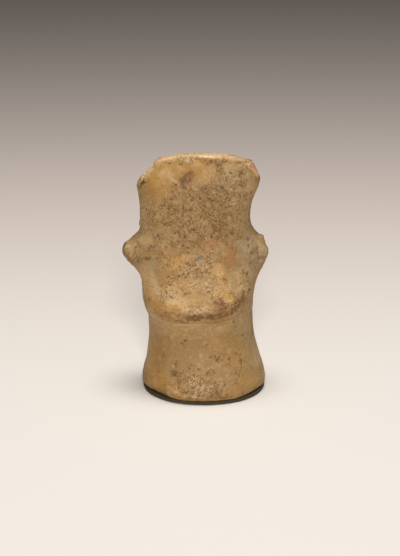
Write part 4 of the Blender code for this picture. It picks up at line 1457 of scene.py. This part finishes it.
@dataclass
class StoneFigure:
    """The carved and weathered stone, in one piece.

    Attributes:
        finish: Its finish.
        relief: Its low relief.
        camera: The view that the marks are placed in.
        edge: How the marks' edges wander and fade.
        hidden: The marks of the sides that don't show.
        node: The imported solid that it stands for.
        cell_mm: How fine its mesh is.
        easing: How often the mesh is smoothed.
        easing_factor: How strongly it is smoothed each time.
        bed_gap_mm: How far the foot is let down onto the pad.
        bed_reach_mm: The height over which that fades.
        crust_span_mm: The distance over which crusted and bare zones change.
        crust_least: The crust of the barest zones.
        crust_more: What the most crusted zones have besides.
        crust_band: The pattern's values between which the crust grows.
        seed: Picks the zones and the hidden marks.
    """

    finish: WeatheredStoneFinish
    relief: StoneRelief
    camera: PhotoCamera
    edge: MarkEdge = MarkEdge()
    hidden: HiddenWear = HiddenWear()
    node: str = "figure"
    cell_mm: float = 0.362
    easing: int = 6
    easing_factor: float = 0.5
    bed_gap_mm: float = 0.45
    bed_reach_mm: float = 5.0
    crust_span_mm: float = 6.5
    crust_least: float = 0.22
    crust_more: float = 0.3
    crust_band: Band = (-0.35, 0.45)
    seed: int = 5

    def build(self) -> bpy.types.Object:
        """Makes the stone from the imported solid.

        Returns:
            The dressed stone.
        """
        piece = self.fine_copy()
        surface = Surface(piece.data, self.edge)
        self.settle(surface)
        self.weather(surface)
        self.lay_seen_marks(surface, piece)
        self.lay_hidden_marks(surface)
        surface.write()
        self.relief.carve(piece, self.finish.make())
        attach(piece, BODY)
        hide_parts(self.node)
        return piece

    def fine_copy(self) -> bpy.types.Object:
        """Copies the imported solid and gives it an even, fine skin.

        Returns:
            The copy, with a plain mesh.
        """
        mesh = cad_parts[self.node].data.copy()
        mesh.materials.clear()
        edit = bmesh.new()
        edit.from_mesh(mesh)
        bmesh.ops.remove_doubles(edit, verts=edit.verts, dist=MERGE_DISTANCE)
        edit.to_mesh(mesh)
        edit.free()
        piece = bpy.data.objects.new("carved_stone", mesh)
        bpy.context.scene.collection.objects.link(piece)
        even = piece.modifiers.new("even", "REMESH")
        even.mode = "VOXEL"
        even.voxel_size = self.cell_mm * MM
        ease = piece.modifiers.new("ease", "SMOOTH")
        ease.factor = self.easing_factor
        ease.iterations = self.easing
        freeze(piece)
        return piece

    def settle(self, surface: Surface) -> None:
        """Lets the foot down onto the pad.

        Args:
            surface: The stone's surface.
        """
        low = surface.points[:, 2].min()
        height = surface.points[:, 2] - low
        surface.points[:, 2] -= self.bed_gap_mm * MM * (1 - smooth_step(0, self.bed_reach_mm * MM, height))

    def weather(self, surface: Surface) -> None:
        """Gives the whole stone its broad crusted and bare zones."""
        zones = noise_field(surface.points, self.crust_span_mm, self.seed)
        surface.crust = self.crust_least + self.crust_more * smooth_step(*self.crust_band, zones)

    def lay_seen_marks(self, surface: Surface, piece: bpy.types.Object) -> None:
        """Lays the marks that the photograph shows.

        Args:
            surface: The stone's surface.
            piece: The stone, to find each mark's place on.
        """
        tree = BVHTree.FromObject(piece, bpy.context.evaluated_depsgraph_get())
        eye = self.camera.eye
        for mark in (*BROAD_MARKS, *FINE_MARKS_OF_STAIN_AND_PAINTED_LIGHT):
            target = self.camera.place_at_aim(mark.x, mark.y)
            hit = tree.ray_cast(eye, (target - eye).normalized())[0]
            centre = hit or tree.find_nearest(target)[0]
            surface.lay(mark, centre, self.camera.right, self.camera.up)

    def lay_hidden_marks(self, surface: Surface) -> None:
        """Weathers the sides that the photograph doesn't show in the same way.

        Args:
            surface: The stone's surface.
        """
        draw = np.random.default_rng(self.seed)
        hidden = np.flatnonzero(surface.normals @ np.array(self.camera.back) < self.hidden.facing)
        for number in range(self.hidden.count):
            spot = draw.choice(hidden)
            out = Vector(surface.normals[spot])
            level = Vector((0, 0, 1)).cross(out)
            right = level.normalized() if level.length > self.hidden.level_least else Vector((1, 0, 0))
            mark = self.hidden.mark(number, draw)
            surface.lay(mark, Vector(surface.points[spot]), right, out.cross(right))


@dataclass
class BasePad:
    """The dark pad that the stone stands on."""

    finish: PadFinish
    node: str = "base_pad"

    def build(self) -> bpy.types.Object:
        """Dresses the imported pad.

        Returns:
            The pad.
        """
        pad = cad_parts[self.node]
        material = self.finish.make()
        for holder in pad.material_slots:
            holder.material = material
        return pad


@dataclass(frozen=True)
class SoftLamp:
    """One round soft lamp that looks at the figurine.

    Attributes:
        name: What it is called.
        azimuth: How far to the right of the camera it hangs, in degrees.
        elevation: How high above the level it hangs, in degrees.
        distance: How far from the figurine it hangs.
        across: Its width.
        watts: Its power.
    """

    name: str
    azimuth: float
    elevation: float
    distance: float
    across: float
    watts: float

    def hang(self, target: Vector) -> None:
        """Adds the lamp to the scene.

        Args:
            target: The point that it looks at.
        """
        turn = math.radians(self.azimuth)
        rise = math.radians(self.elevation)
        level = math.cos(rise)
        toward = Vector((math.sin(turn) * level, -math.cos(turn) * level, math.sin(rise)))
        light = bpy.data.lights.new(self.name, "AREA")
        light.shape = "DISK"
        light.size = self.across
        light.energy = self.watts
        lamp = bpy.data.objects.new(self.name, light)
        lamp.location = target + toward * self.distance
        lamp.rotation_mode = "QUATERNION"
        lamp.rotation_quaternion = (-toward).to_track_quat("-Z", "Y")
        bpy.context.scene.collection.objects.link(lamp)


@dataclass
class Studio:
    """The pale floor, the soft light and the camera."""

    camera: PhotoCamera
    floor_finish: PaleFloorFinish
    floor_half: float = 4.0
    floor_drop: float = 0.0001
    lamps: Sequence[SoftLamp] = (
        SoftLamp("top_lamp", azimuth=100, elevation=88.6, distance=0.9, across=0.42, watts=7.6),
        SoftLamp("front_lamp", azimuth=1.5, elevation=32, distance=1.5, across=0.3, watts=12.6),
    )
    room_light: float = 0.1

    def build(self) -> None:
        """Adds the floor, lights and camera."""
        self.add_floor()
        for lamp in self.lamps:
            lamp.hang(Vector(self.camera.aim))
        self.add_room_light()
        self.camera.add()
        bpy.context.scene.view_settings.view_transform = "Standard"

    def add_floor(self) -> None:
        """Lays the floor just under the pad."""
        half = self.floor_half
        corners = [(x * half, y * half, -self.floor_drop) for x, y in ((-1, -1), (1, -1), (1, 1), (-1, 1))]
        mesh = bpy.data.meshes.new("floor")
        mesh.from_pydata(corners, [], [(0, 1, 2, 3)])
        mesh.materials.append(self.floor_finish.make())
        floor = bpy.data.objects.new("floor", mesh)
        bpy.context.scene.collection.objects.link(floor)

    def add_room_light(self) -> None:
        """Lights the room evenly from all round."""
        world = bpy.data.worlds.new("room")
        world.use_nodes = True
        backdrop = world.node_tree.nodes["Background"]
        backdrop.inputs["Color"].default_value = (1.0, 1.0, 1.0, 1.0)
        backdrop.inputs["Strength"].default_value = self.room_light
        bpy.context.scene.world = world


def main() -> None:
    """Builds the figurine and its setting, piece by piece."""
    logging.basicConfig(level=logging.INFO, format="%(name)s: %(message)s")
    camera = PhotoCamera()
    for maker in (StoneFigure(WeatheredStoneFinish(), StoneRelief(), camera), BasePad(PadFinish())):
        piece = maker.build()
        piece.data.calc_loop_triangles()
        LOG.info("%s: %d triangles", piece.name, len(piece.data.loop_triangles))
    studio = Studio(camera, PaleFloorFinish())
    studio.build()
    LOG.info("studio: floor, %d lamps, room light and camera", len(studio.lamps))


if __name__ == "__main__":
    main()
